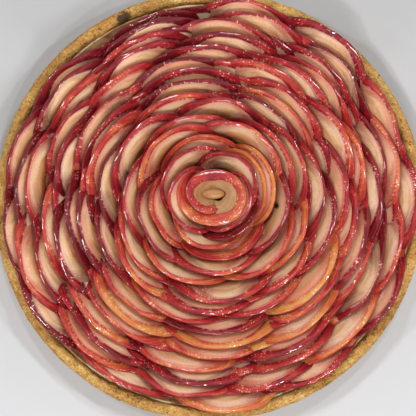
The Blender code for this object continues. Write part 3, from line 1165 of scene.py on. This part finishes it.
class SliceTree(GeometryTree):
    """The rule that every slice of the rosette follows, as a geometry node tree.

    Four of a section's points on each side of its top are skin. Each wave has its height and how far apart
    its hills are.
    """

    skin_share = 2 * 4 / SliceShape.section_points
    length_share = 0.985
    flare_from = 0.12
    skin_rise = 0.0006
    crown_height = 0.0003
    seam_width = 0.34
    edge_wave, edge_wave_spacing = 0.0016, 0.011
    ripple, ripple_spacing = 0.00014, 0.0017
    sway, sway_spacing = 0.0020, 0.020
    slump, slump_spacing = 0.0036, 0.034
    paler_at_window = 2.4

    def __init__(self, hollows: Sequence[Hollow]) -> None:
        """Build the tree: tubes on the points, bent by the rule into slices.

        Args:
            hollows: The dark gaps between the slices.
        """
        super().__init__("half_moon_slices")
        self.hollows = hollows
        sizes = ("Foot radius", "Lean", "Centre X", "Centre Y", "Floor", "Cut depth", "Splay", "Thickness",
                 "Swing", "Curl", "Lowest edge", "Foot")
        counts = ("Stations", "Section points")
        self.declare(**dict.fromkeys(sizes, "NodeSocketFloat"), **dict.fromkeys(counts, "NodeSocketInt"))
        self.shape_slices(self.tubes())

    def tubes(self) -> Term:
        """Lay one closed tube for each slice.

        Returns:
            Tubes that carry how far along (-1 to 1) and how far round (-0.5 to 0.5) each point is.
        """
        tube = add_node(self.tree, "GeometryNodeMeshCylinder",
                        {"Vertices": self.given("Section points"), "Side Segments": self.given("Stations"),
                         "Radius": 1.0, "Depth": 2.0}, fill_type="NGON")
        place = Term(add_node(self.tree, "GeometryNodeInputPosition"))
        axes = add_node(self.tree, "ShaderNodeSeparateXYZ", {0: place})
        geometry = self.store(Term(tube, "Mesh"), "station", Term(axes, "Z"))
        round_it = maths("ARCTAN2", Term(axes, "Y"), Term(axes, "X")) / math.tau
        geometry = self.store(geometry, "section", round_it)
        spread = add_node(self.tree, "GeometryNodeInstanceOnPoints",
                          {"Points": self.given("Base"), "Instance": geometry})
        real = add_node(self.tree, "GeometryNodeRealizeInstances", {"Geometry": Term(spread, "Instances")})
        return Term(real)

    def across(self, name: str, share: Term) -> Term:
        """A curve through a slice's near, middle and far values.

        Args:
            name: The values' common name.
            share: How far along the slice, from -1 to 1.

        Returns:
            The value there.
        """
        near, middle, far = (self.attribute(f"{name}_{place}") for place in ("near", "mid", "far"))
        return middle + (far - near) * 0.5 * share + ((near + far) * 0.5 - middle) * share * share

    def profile(self, value: Term, points: Sequence[tuple[float, float]]) -> Term:
        """Read a curve through given points.

        Args:
            value: Where to read it, from 0 to 1.
            points: The curve's points, joined by straight lines.

        Returns:
            The curve's value.
        """
        node = add_node(self.tree, "ShaderNodeFloatCurve", {"Value": value})
        curve = node.mapping.curves[0]
        while len(curve.points) < len(points):
            curve.points.new(0.5, 0.5)
        for handle, place in zip(curve.points, points):
            handle.location = place
            handle.handle_type = "VECTOR"
        node.mapping.update()
        return Term(node, "Value")

    def hollowed(self, x: Term, y: Term) -> Term:
        """How deep in a dark gap a point is.

        Args:
            x: The point's x.
            y: Its y.

        Returns:
            From 0 to 1.
        """
        deepest = x * 0.0
        for hollow in self.hollows:
            angle = math.radians(hollow.azimuth)
            outward = x * math.cos(angle) + y * math.sin(angle) - hollow.radius
            along = y * math.cos(angle) - x * math.sin(angle)
            gap = maths("ABSOLUTE", outward) / (2.0 * hollow.width) + maths("ABSOLUTE", along) / hollow.length
            deepest = maths("MAXIMUM", deepest, 1.0 - gap)
        return deepest

    def wander(self, vector: Sequence[Term | float], spacing: float, detail: float = 1.0) -> Term:
        """Smooth noise about zero.

        Args:
            vector: Where to read it, in metres.
            spacing: How far apart its hills are.
            detail: How many finer layers it has.

        Returns:
            The noise, mostly within half of 1.
        """
        place = add_node(self.tree, "ShaderNodeCombineXYZ", dict(enumerate(vector)))
        texture = add_node(self.tree, "ShaderNodeTexNoise",
                           {"Vector": Term(place), "Scale": 1 / spacing, "Detail": detail})
        return Term(texture, 0) - 0.5

    def shape_slices(self, geometry: Term) -> None:
        """Bend the tubes into slices, and leave what the finish reads on their points.

        Args:
            geometry: The tubes.
        """
        station, section = self.attribute("station"), self.attribute("section")
        fruit, seed = self.attribute("fruit"), self.attribute("seed")
        cut, foot, lean = self.given("Cut depth"), self.given("Foot"), self.given("Lean")
        half = maths("SQRT", fruit * fruit - cut * cut)
        along = fruit * maths("SINE", maths("ARCSINE", self.length_share * half / fruit) * station)
        share = along / half
        far_from_skin = maths("ABSOLUTE", section) * 2.0
        height = self.profile(far_from_skin, ((0.0, 1.0), (self.skin_share, 1.0), (0.36, 0.982), (0.5, 0.92),
                                              (0.7, 0.72), (0.95, 0.0), (1.0, 0.0)))
        reach = self.profile(far_from_skin, ((0.0, 0.0), (self.skin_share, 1.0), (0.95, 1.0), (1.0, 0.0)))
        side = reach * maths("SIGN", section)

        end = maths("ABSOLUTE", share)
        onward = maths("GREATER_THAN", share, 0.0)
        near, far = self.attribute("flare_near"), self.attribute("flare_far")
        flare = near + (far - near) * onward
        widening = maths("MAXIMUM", (end - self.flare_from) / (1.0 - self.flare_from), 0.0)
        drop = self.attribute("bevel") + flare * maths("POWER", widening, 1.5)
        ragged_edge = self.wander((along, seed * 0.01), self.edge_wave_spacing, 2.0) * self.edge_wave
        ripple = self.wander((along, side * 0.0006, seed * 0.01), self.ripple_spacing) * self.ripple
        arch = maths("SQRT", fruit * fruit - along * along) - cut + self.attribute("slide")
        arch = arch + self.attribute("roll") * along + ragged_edge + ripple
        crown = 1.0 - side * side
        edge = arch + self.skin_rise - drop * (1.0 - side) * 0.5 + crown * self.crown_height
        edge = maths("MAXIMUM", edge, self.given("Lowest edge"))
        up = foot + height * (edge - foot)
        wave = self.wander((along, seed * 0.01, up * 0.5), self.sway_spacing) * self.sway * height
        thin_end = 1.0 - maths("POWER", end, 10.0) * 0.9
        out = side * self.given("Thickness") * self.attribute("thick") * 0.5 * thin_end + wave
        out = out - crown * drop * 0.10 * maths("LESS_THAN", far_from_skin, self.skin_share + 0.01)
        swung = (self.given("Swing") + self.attribute("swirl")) * share
        out = out + swung - self.given("Curl") * share * share
        out = out + self.attribute("tilt") * up + self.attribute("offset")
        out = out - self.given("Splay") * (1.0 - height) * (1.0 - side) * 0.5

        radius = self.given("Foot radius") + self.across("bulge", share)
        radius = radius + up * maths("SINE", lean) + out * maths("COSINE", lean)
        here = self.attribute("azimuth") + along / self.attribute("middle")
        x = self.given("Centre X") + radius * maths("COSINE", here)
        y = self.given("Centre Y") + radius * maths("SINE", here)
        z = self.given("Floor") + up * maths("COSINE", lean) - out * maths("SINE", lean)
        shift_x, shift_y = (self.wander((x, y, level), self.slump_spacing) * self.slump * height
                            for level in (0.1, 0.3))
        place = add_node(self.tree, "ShaderNodeCombineXYZ", {"X": x + shift_x, "Y": y + shift_y, "Z": z})

        # Depth drives the flesh's painted shade; it is scaled down where x - y is larger, so the window side
        # is painted lighter
        depth = maths("MAXIMUM", edge - up, 0.0) * (1.0 - (x - y) * self.paler_at_window)
        peel = maths("LESS_THAN", far_from_skin, self.skin_share + 0.01)
        cut_edge = self.attribute("rim") - 1.01
        # Where the row of painted highlight dots goes: along the skin's cut edge
        seam = maths("MAXIMUM", 1.0 - maths("ABSOLUTE", side - cut_edge) / self.seam_width, 0.0) * peel
        peel = peel * maths("GREATER_THAN", side, cut_edge)
        lay = add_node(self.tree, "ShaderNodeCombineXYZ",
                       {"X": along, "Y": (edge - up) * 0.4 + side * drop * 0.4, "Z": seed * 0.02})
        for name, value in (("peel", peel), ("depth", depth), ("tone", self.across("tone", share)),
                            ("gild", self.across("gild", share)), ("end", end), ("across", side),
                            ("seam", seam), ("hollow", self.hollowed(x, y))):
            geometry = self.store(geometry, name, value)
        geometry = self.store(geometry, "lay", Term(lay), "FLOAT_VECTOR")
        moved = add_node(self.tree, "GeometryNodeSetPosition",
                         {"Geometry": geometry, "Position": Term(place)})
        self.close(Term(moved))


@dataclass
class Slices:
    """All the slices that follow the rosette's rule: twelve packed turns and the loose ones round the eye."""

    rosette: Rosette = field(default_factory=Rosette)
    shape: SliceShape = field(default_factory=SliceShape)
    loose_size: float = 0.86
    loose_splay: float = 0.0042
    packed: tuple[tuple[int, ...], ...] = (
        (3, 28, 53, 80, 109, 138, 163, 188, 213, 243, 274, 302, 331),
        (14, 46, 75, 110, 142, 171, 199, 229, 261, 289, 317, 345),
        (17, 51, 86, 114, 142, 170, 200, 232, 265, 299, 334),
        (4, 46, 84, 118, 152, 190, 226, 260, 302, 335),
        (15, 54, 92, 127, 163, 198, 233, 272, 308, 343),
        (27, 66, 104, 146, 188, 232, 277, 318, 352),
        (5, 50, 100, 150, 192, 231, 273, 323),
        (50, 104, 156, 202, 250, 296, 347),
        (8, 55, 112, 168, 222, 270, 318),
        (25, 84, 145, 212, 278, 335),
        (38, 108, 180, 245, 315),
        (60, 130, 205, 275, 345),
    )
    loose: tuple[LooseSlice, ...] = (
        LooseSlice(13, "a", 15, 0.0349, 0.0014, 0.0, 0.82, 0.0020),
        LooseSlice(13, "b", 105, 0.0349, 0.0014, 0.0, 0.66, 0.0040),
        LooseSlice(13, "c", 195, 0.0349, 0.0014, 0.0, 0.60, 0.0030),
        LooseSlice(13, "d", 285, 0.0349, 0.0014, 0.0, 0.62, 0.0110),
        LooseSlice(14, "a", 135, 0.0280, 0.0015, 0.0, 0.36, 0.0012),
        LooseSlice(14, "b", 250, 0.0291, 0.0031, 0.0006, 0.66, 0.0022),
        LooseSlice(14, "c", 315, 0.0266, 0.0005, 0.0, 0.26, 0.0100),
        LooseSlice(14, "d", 24, 0.0302, 0.0, 0.0, 0.86, 0.0024),
        LooseSlice(15, "a", 190, 0.0235, 0.0029, 0.0034, 0.42, 0.0010),
        LooseSlice(15, "b", 330, 0.0218, -0.0012, 0.0036, 0.42, 0.0010),
        LooseSlice(15, "c", 44, 0.0239, -0.0015, 0.0013, 0.36, 0.0014),
    )

    def build(self, finish: bpy.types.Material) -> list[bpy.types.Object]:
        """Make every turn and every loose slice.

        Args:
            finish: The fruit's material.

        Returns:
            The pieces, from the shell inwards.
        """
        tree = SliceTree(self.rosette.hollows)
        pieces = []
        for index, azimuths in enumerate(self.packed):
            turn = Turn(index, self.rosette.outer_reach - self.rosette.pitch * index, azimuths, self.rosette,
                        self.shape, swing=self.rosette.swing, curl=self.rosette.curl)
            turn.curl *= blend(self.rosette.curl_from, self.rosette.curl_to, turn.reach)
            pieces.append(turn.build(tree, f"glazed_turn_{index + 1:02d}", f"slices_turn_{index + 1:02d}",
                                     Slot.RED, finish))
        for loose in self.loose:
            turn = Turn(loose.turn * 10 + ord(loose.letter), loose.reach, (loose.azimuth,), self.rosette,
                        self.shape, self.loose_size, loose.swing, loose.curl, self.loose_splay, loose)
            pieces.append(turn.build(tree, f"glazed_slice_{loose.turn}_{loose.letter}",
                                     f"slice_{loose.turn}_{loose.letter}", Slot.GOLDEN, finish))
        return pieces


@dataclass
class Petal:
    """The thick slice that curls clockwise round the bud, with a broad band of skin sloping down to it."""

    rosette: Rosette = field(default_factory=Rosette)
    band: tuple[tuple[float, float, float], ...] = (
        (288, 0.0080, 0.0102), (270, 0.0064, 0.0112), (240, 0.0082, 0.0124), (211, 0.0094, 0.0134),
        (180, 0.0106, 0.0148), (145, 0.0087, 0.0144), (90, 0.0064, 0.0131), (39, 0.0095, 0.0155),
        (0, 0.0128, 0.0181), (-41, 0.0134, 0.0196), (-73, 0.0118, 0.0188), (-98, 0.0112, 0.0183),
        (-125, 0.0124, 0.0190), (-150, 0.0133, 0.0200), (-180, 0.0146, 0.0203), (-210, 0.0143, 0.0190),
        (-232, 0.0138, 0.0162),
    )
    tones: tuple[tuple[float, float], ...] = (
        (-232, 0.52), (-190, 0.64), (-150, 0.62), (-98, 0.56), (-41, 0.58), (10, 0.56), (35, 0.50),
        (60, 0.44), (90, 0.38), (145, 0.36), (180, 0.34), (240, 0.36), (288, 0.40),
    )
    second_layer: tuple[float, float] = (-85.0, -150.0)
    second_drop: float = 0.0042
    height: float = 0.0235
    band_drop: float = 0.0034
    knee_height: float = 0.0149
    flare: float = 0.0072
    lean: float = 17.0
    end_share: float = 0.84
    end_rounding: float = 0.022
    foot: float = 0.0006
    clearance: float = 0.0003
    thickness: float = 0.0019
    opens: tuple[float, float] = (-84.0, -78.0)
    band_crown: float = 0.55 * MM
    foot_steps: int = 4
    inner_steps: int = 10
    band_steps: int = 16
    outer_steps: int = 8
    stations: int = 420
    flesh_depth: float = 0.0118
    rim_depth: float = 0.0085
    rim_peel: float = 0.4
    blush: float = 0.15
    shadow: float = 0.16
    rolled_radius: float = 0.012

    def edges(self, azimuth: float) -> tuple[float, float]:
        """Where the band of skin starts and ends at an azimuth.

        Args:
            azimuth: It falls from the free end outwards.

        Returns:
            The two radii about the eye, on smooth curves through the table.
        """
        last = len(self.band) - 1
        for i in range(last):
            (start, *low), (stop, *high) = self.band[i], self.band[i + 1]
            if azimuth >= stop:
                break
        before, after = self.band[max(i - 1, 0)], self.band[min(i + 2, last)]
        share = (start - azimuth) / (start - stop)
        found = []
        for k in (0, 1):
            rise = (high[k] - before[k + 1]) * (start - stop) / (before[0] - stop)
            fall = (after[k + 1] - low[k]) * (start - stop) / (start - after[0])
            found.append((2 * share**3 - 3 * share**2 + 1) * low[k]
                         + (share**3 - 2 * share**2 + share) * rise
                         + (3 * share**2 - 2 * share**3) * high[k] + (share**3 - share**2) * fall)
        return found[0], found[1]

    def tone(self, azimuth: float) -> float:
        """How golden the skin is at an azimuth.

        Args:
            azimuth: Where to read the table of tones.

        Returns:
            From 0, crimson, to 1.
        """
        for (left, low), (right, high) in zip(self.tones, self.tones[1:]):
            if azimuth <= right:
                return low + (high - low) * blend(left, right, azimuth)
        return self.tones[-1][1]

    def section(self, share: float, bud: "Bud") -> tuple[list[Point], dict[str, list[float]]]:
        """The petal's outline at a share of its length.

        Args:
            share: How far from the free end, from 0 to 1.
            bud: The bud that it curls round.

        Returns:
            The outline's points, and the numbers that they carry.
        """
        first, last = self.band[0][0], self.band[-1][0]
        azimuth = first + (last - first) * share
        angle = math.radians(azimuth)
        start, end = self.edges(azimuth)
        narrow = math.sqrt(1.0 - (1.0 - min(share / self.end_rounding, 1.0)) ** 2) * 0.42 + 0.08
        start, end = (start + end) / 2 - (end - start) * narrow, (start + end) / 2 + (end - start) * narrow
        taper = self.end_share + (1 - self.end_share) * blend(0.0, 0.06, share) * blend(1.0, 0.93, share)
        top = self.height * taper - self.second_drop * blend(*self.second_layer, azimuth)
        opened = blend(*self.opens, azimuth)
        knee = bud.radius(azimuth) + self.clearance * (0.9 * math.cos(math.radians(azimuth + 50.0)) - 0.1)
        knee = (max(knee, start - self.flare - self.clearance) * opened
                + (start - self.clearance) * (1.0 - opened))
        base = max(end - math.tan(math.radians(self.lean)) * top, knee + self.thickness)
        knee_up = min(self.knee_height, top - 2 * self.band_drop)
        outline = [(knee, self.foot + (knee_up - self.foot) * step / self.foot_steps, 0.0)
                   for step in range(self.foot_steps)]
        for step in range(1, self.inner_steps):
            s = step / self.inner_steps
            outline.append((knee + (start - knee) * s ** 1.3,
                            knee_up + (top - self.band_drop - knee_up) * s, 0.0))
        for step in range(self.band_steps + 1):
            s = step / self.band_steps
            crown = self.band_crown * (1 - (2 * s - 1) ** 2)
            peel = 1.0 if 0 < step < self.band_steps else self.rim_peel * (step == self.band_steps)
            outline.append((start + (end - start) * s, top - self.band_drop * (1 - s) ** 1.2 + crown, peel))
        for step in range(1, self.outer_steps + 1):
            s = step / self.outer_steps
            outline.append((end + (base - end) * s, top + (self.foot - top) * s, 0.0))
        points, carried = [], defaultdict(list)
        for radius, up, peel in outline:
            place = (radius * math.cos(angle), radius * math.sin(angle), up)
            wrinkle = ragged((1.6 * azimuth * MM, radius * 0.2, 0.0), 0.0021, 8.0) * 0.22 * MM * peel
            wobble = ragged(place, 0.011, 2.0) * 0.5 * MM + wrinkle
            radius += wobble * min(1.0, up / 0.01)
            points.append((self.rosette.eye[0] + radius * math.cos(angle),
                           self.rosette.eye[1] + radius * math.sin(angle),
                           self.rosette.floor + up + wobble * 0.6 * peel))
            # Lower on the petal the flesh is deeper, and so darker: partly juice soaked in, partly painted
            # shade
            deep = self.flesh_depth + 0.4 * max(0.0, top - self.band_drop - up)
            deep = deep if up < top - 0.5 * MM else self.rim_depth
            for name, value in (("peel", peel), ("depth", deep), ("tone", self.tone(azimuth)),
                                ("blush", self.blush), ("hollow", 0.0 if peel else self.shadow)):
                carried[name].append(value)
        return points, carried

    def lay(self, share: float, point: Point) -> Point:
        """Where a point lies on the petal rolled out flat.

        Args:
            share: How far from the free end, from 0 to 1.
            point: The point on the rolled petal.

        Returns:
            How far along the petal it is and how far across, with a level of the patterns of its own.
        """
        azimuth = math.radians((self.band[0][0] - self.band[-1][0]) * share)
        radius = math.hypot(point[0] - self.rosette.eye[0], point[1] - self.rosette.eye[1])
        return azimuth * self.rolled_radius, radius, 0.3

    def build(self, bud: "Bud", finish: bpy.types.Material) -> bpy.types.Object:
        """Make the petal.

        Args:
            bud: The bud that it curls round.
            finish: The fruit's material.

        Returns:
            The piece.
        """
        rows, tables = [], defaultdict(list)
        for station in range(self.stations + 1):
            points, carried = self.section(station / self.stations, bud)
            rows.append(points)
            for name, values in carried.items():
                tables[name].append(values)
        piece = add_piece("glazed_petal", loft(rows, False, **tables), finish)
        lay_out(piece, [self.lay(station / self.stations, point)
                        for station, row in enumerate(rows) for point in row])
        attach(piece, "root")
        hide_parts("petal")
        return piece


def lay_out(piece: bpy.types.Object, places: Sequence[Point]) -> None:
    """Leave where each point of a hand-made piece lies, for the fruit's patterns to follow.

    Args:
        piece: The piece.
        places: One place for each of its points.
    """
    made = piece.data.attributes.new("lay", "FLOAT_VECTOR", "POINT")
    made.data.foreach_set("vector", [value for place in places for value in place])


@dataclass
class Bud:
    """The tightly rolled slice at the eye: an upright oval roll with a gently domed top."""

    rosette: Rosette = field(default_factory=Rosette)
    length: float = 0.0130
    width: float = 0.0058
    height: float = 0.0160
    down: float = 0.0006
    sides: int = 120
    dome_steps: int = 14
    flesh_depth: float = 0.0140
    # How much deeper, and so darker, the flesh is towards the bud's foot: partly juice soaked in, partly
    # painted shade
    deepening: float = 0.010
    shadow: float = 0.15

    def radius(self, azimuth: float) -> float:
        """How far the bud reaches from the eye at an azimuth.

        Args:
            azimuth: The direction looked in.

        Returns:
            Where a line from the eye leaves the oval, whose middle lies a little below the eye.
        """
        angle = math.radians(azimuth)
        along, across = math.cos(angle) / (0.5 * self.length), math.sin(angle) / (0.5 * self.width)
        lowered = self.down / (0.5 * self.width)
        square = along ** 2 + across ** 2
        return (math.sqrt((across * lowered) ** 2 + square * (1 - lowered ** 2)) - across * lowered) / square

    def build(self, finish: bpy.types.Material) -> bpy.types.Object:
        """Make the bud.

        Args:
            finish: The fruit's material.

        Returns:
            The piece.
        """
        levels = [(0.0, 0.86), (0.45, 0.93), (0.8, 0.99)]
        dome = (math.pi / 2 * step / self.dome_steps for step in range(self.dome_steps + 1))
        levels += [(0.92 + 0.08 * math.sin(a), 0.02 + 0.98 * math.cos(a)) for a in dome]
        rows, tables = [], defaultdict(list)
        for up, size in levels:
            row = []
            for side in range(self.sides):
                angle = math.tau * side / self.sides
                x, y = 0.5 * self.length * size * math.cos(angle), 0.5 * self.width * size * math.sin(angle)
                z = self.height * up + ragged((x, y, 0.0), 0.003, 6.0) * 0.25 * MM * up
                row.append((self.rosette.eye[0] + x, self.rosette.eye[1] - self.down + y,
                            self.rosette.floor + z))
            rows.append(row)
            for name, value in (("peel", 0.0), ("depth", self.flesh_depth + self.deepening * (1 - up)),
                                ("tone", 1.0), ("blush", 0.0), ("gild", 1.0), ("hollow", self.shadow)):
                tables[name].append([value] * self.sides)
        piece = add_piece("rolled_bud", loft(rows, False, **tables), finish)
        lay_out(piece, [tuple(vertex.co) for vertex in piece.data.vertices])
        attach(piece, "root")
        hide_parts("bud")
        return piece


@dataclass
class Studio:
    """The pale board, the camera straight above it, and the light.

    A soft window stands at the picture's lower edge, and five small lamps hang high round the tart and leave
    the hard highlights of wet jelly. The pale room lights the rest.
    """

    camera_height: float = 1.526
    rim_height: float = 0.026
    pixel: float = 0.000559
    picture: int = 416
    tart_centre: tuple[float, float] = (209.9, 205.8)
    sensor: float = 36.0
    board_reach: float = 1.6
    room: tuple[tuple[float, str], ...] = (
        (0.0, "#B8B6B3"), (0.45, "#FFFBF6"), (0.72, "#C4C2BF"), (0.9, "#787674"), (1.0, "#686664"),
    )
    room_strength: float = 0.84
    aim: Point = (0.0, 0.0, 0.02)
    window: Point = (0.12, -0.50, 0.90)
    window_size: float = 0.20
    window_watts: float = 3.2
    window_colour: str = "#FFF9F4"
    lamps: tuple[int, ...] = (12, 62, 104, 152, 262)
    lamp_reach: float = 0.42
    lamp_height: float = 1.04
    lamp_size: float = 0.06
    lamp_watts: float = 2.2
    lamp_colour: str = "#FFFFFF"

    def add_camera(self) -> None:
        """Put the camera where the photograph was taken from."""
        lens = bpy.data.cameras.new("camera")
        lens.sensor_width = self.sensor
        lens.lens = self.sensor * (self.camera_height - self.rim_height) / (self.picture * self.pixel)
        lens.clip_start, lens.clip_end = 0.1, 20.0
        camera = bpy.data.objects.new("camera", lens)
        half = self.picture / 2
        camera.location = ((half - self.tart_centre[0]) * self.pixel,
                           (self.tart_centre[1] - half) * self.pixel, self.camera_height)
        bpy.context.scene.collection.objects.link(camera)
        bpy.context.scene.camera = camera

    def add_light(self, name: str, place: Point, size: float, watts: float, colour: str) -> None:
        """Add one square light that shines at the tart.

        Args:
            name: Its name.
            place: Where it stands.
            size: Its side.
            watts: Its power.
            colour: Its hex colour.
        """
        lamp = bpy.data.lights.new(name, "AREA")
        lamp.size = size
        lamp.energy = watts
        lamp.color = linear(colour)[:3]
        light = bpy.data.objects.new(name, lamp)
        light.location = place
        light.rotation_euler = (Vector(self.aim) - Vector(place)).to_track_quat("-Z", "Y").to_euler()
        bpy.context.scene.collection.objects.link(light)

    def build(self) -> None:
        """Make the floor, the lights and the camera."""
        bm = bmesh.new()
        bmesh.ops.create_grid(bm, x_segments=1, y_segments=1, size=self.board_reach)
        mesh = bpy.data.meshes.new("board")
        bm.to_mesh(mesh)
        bm.free()
        floor = add_piece("board", mesh, PaleBoard().build())
        self.add_light("window", self.window, self.window_size, self.window_watts, self.window_colour)
        for azimuth in self.lamps:
            place = (self.lamp_reach * math.cos(math.radians(azimuth)),
                     self.lamp_reach * math.sin(math.radians(azimuth)), self.lamp_height)
            self.add_light(f"lamp_{azimuth}", place, self.lamp_size, self.lamp_watts, self.lamp_colour)
        world = bpy.data.worlds.new("room")
        world.use_nodes = True
        room = world.node_tree
        upward = Term(add_node(room, "ShaderNodeTexCoord"), "Generated")
        upward = Term(add_node(room, "ShaderNodeSeparateXYZ", {0: upward}), "Z")
        room.links.new(ramp(room, upward, self.room).socket, room.nodes["Background"].inputs["Color"])
        room.nodes["Background"].inputs["Strength"].default_value = self.room_strength
        bpy.context.scene.world = world
        bpy.context.scene.view_settings.view_transform = "Standard"
        self.add_camera()


def main() -> None:
    """Build the tart's pieces in order, and write how large it is."""
    logging.basicConfig(level=logging.INFO, format="%(name)s: %(message)s")
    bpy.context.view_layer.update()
    Studio().build()
    shell = PastryShell()
    shell_piece = shell.build()
    crumbs = shell.scatter_crumbs(shell_piece)
    filling = Filling().build()
    fruit = BakedFruit().build()
    slices = Slices().build(fruit)
    bud = Bud()
    petal = Petal().build(bud, fruit)
    pieces = [shell_piece, crumbs, filling, *slices, petal, bud.build(fruit)]
    total = 0
    for piece in pieces:
        count = sum(len(polygon.vertices) - 2 for polygon in piece.data.polygons)
        total += count
        log.info("%s: %d triangles", piece.name, count)
    log.info("all pieces: %d triangles", total)


if __name__ == "__main__":
    main()
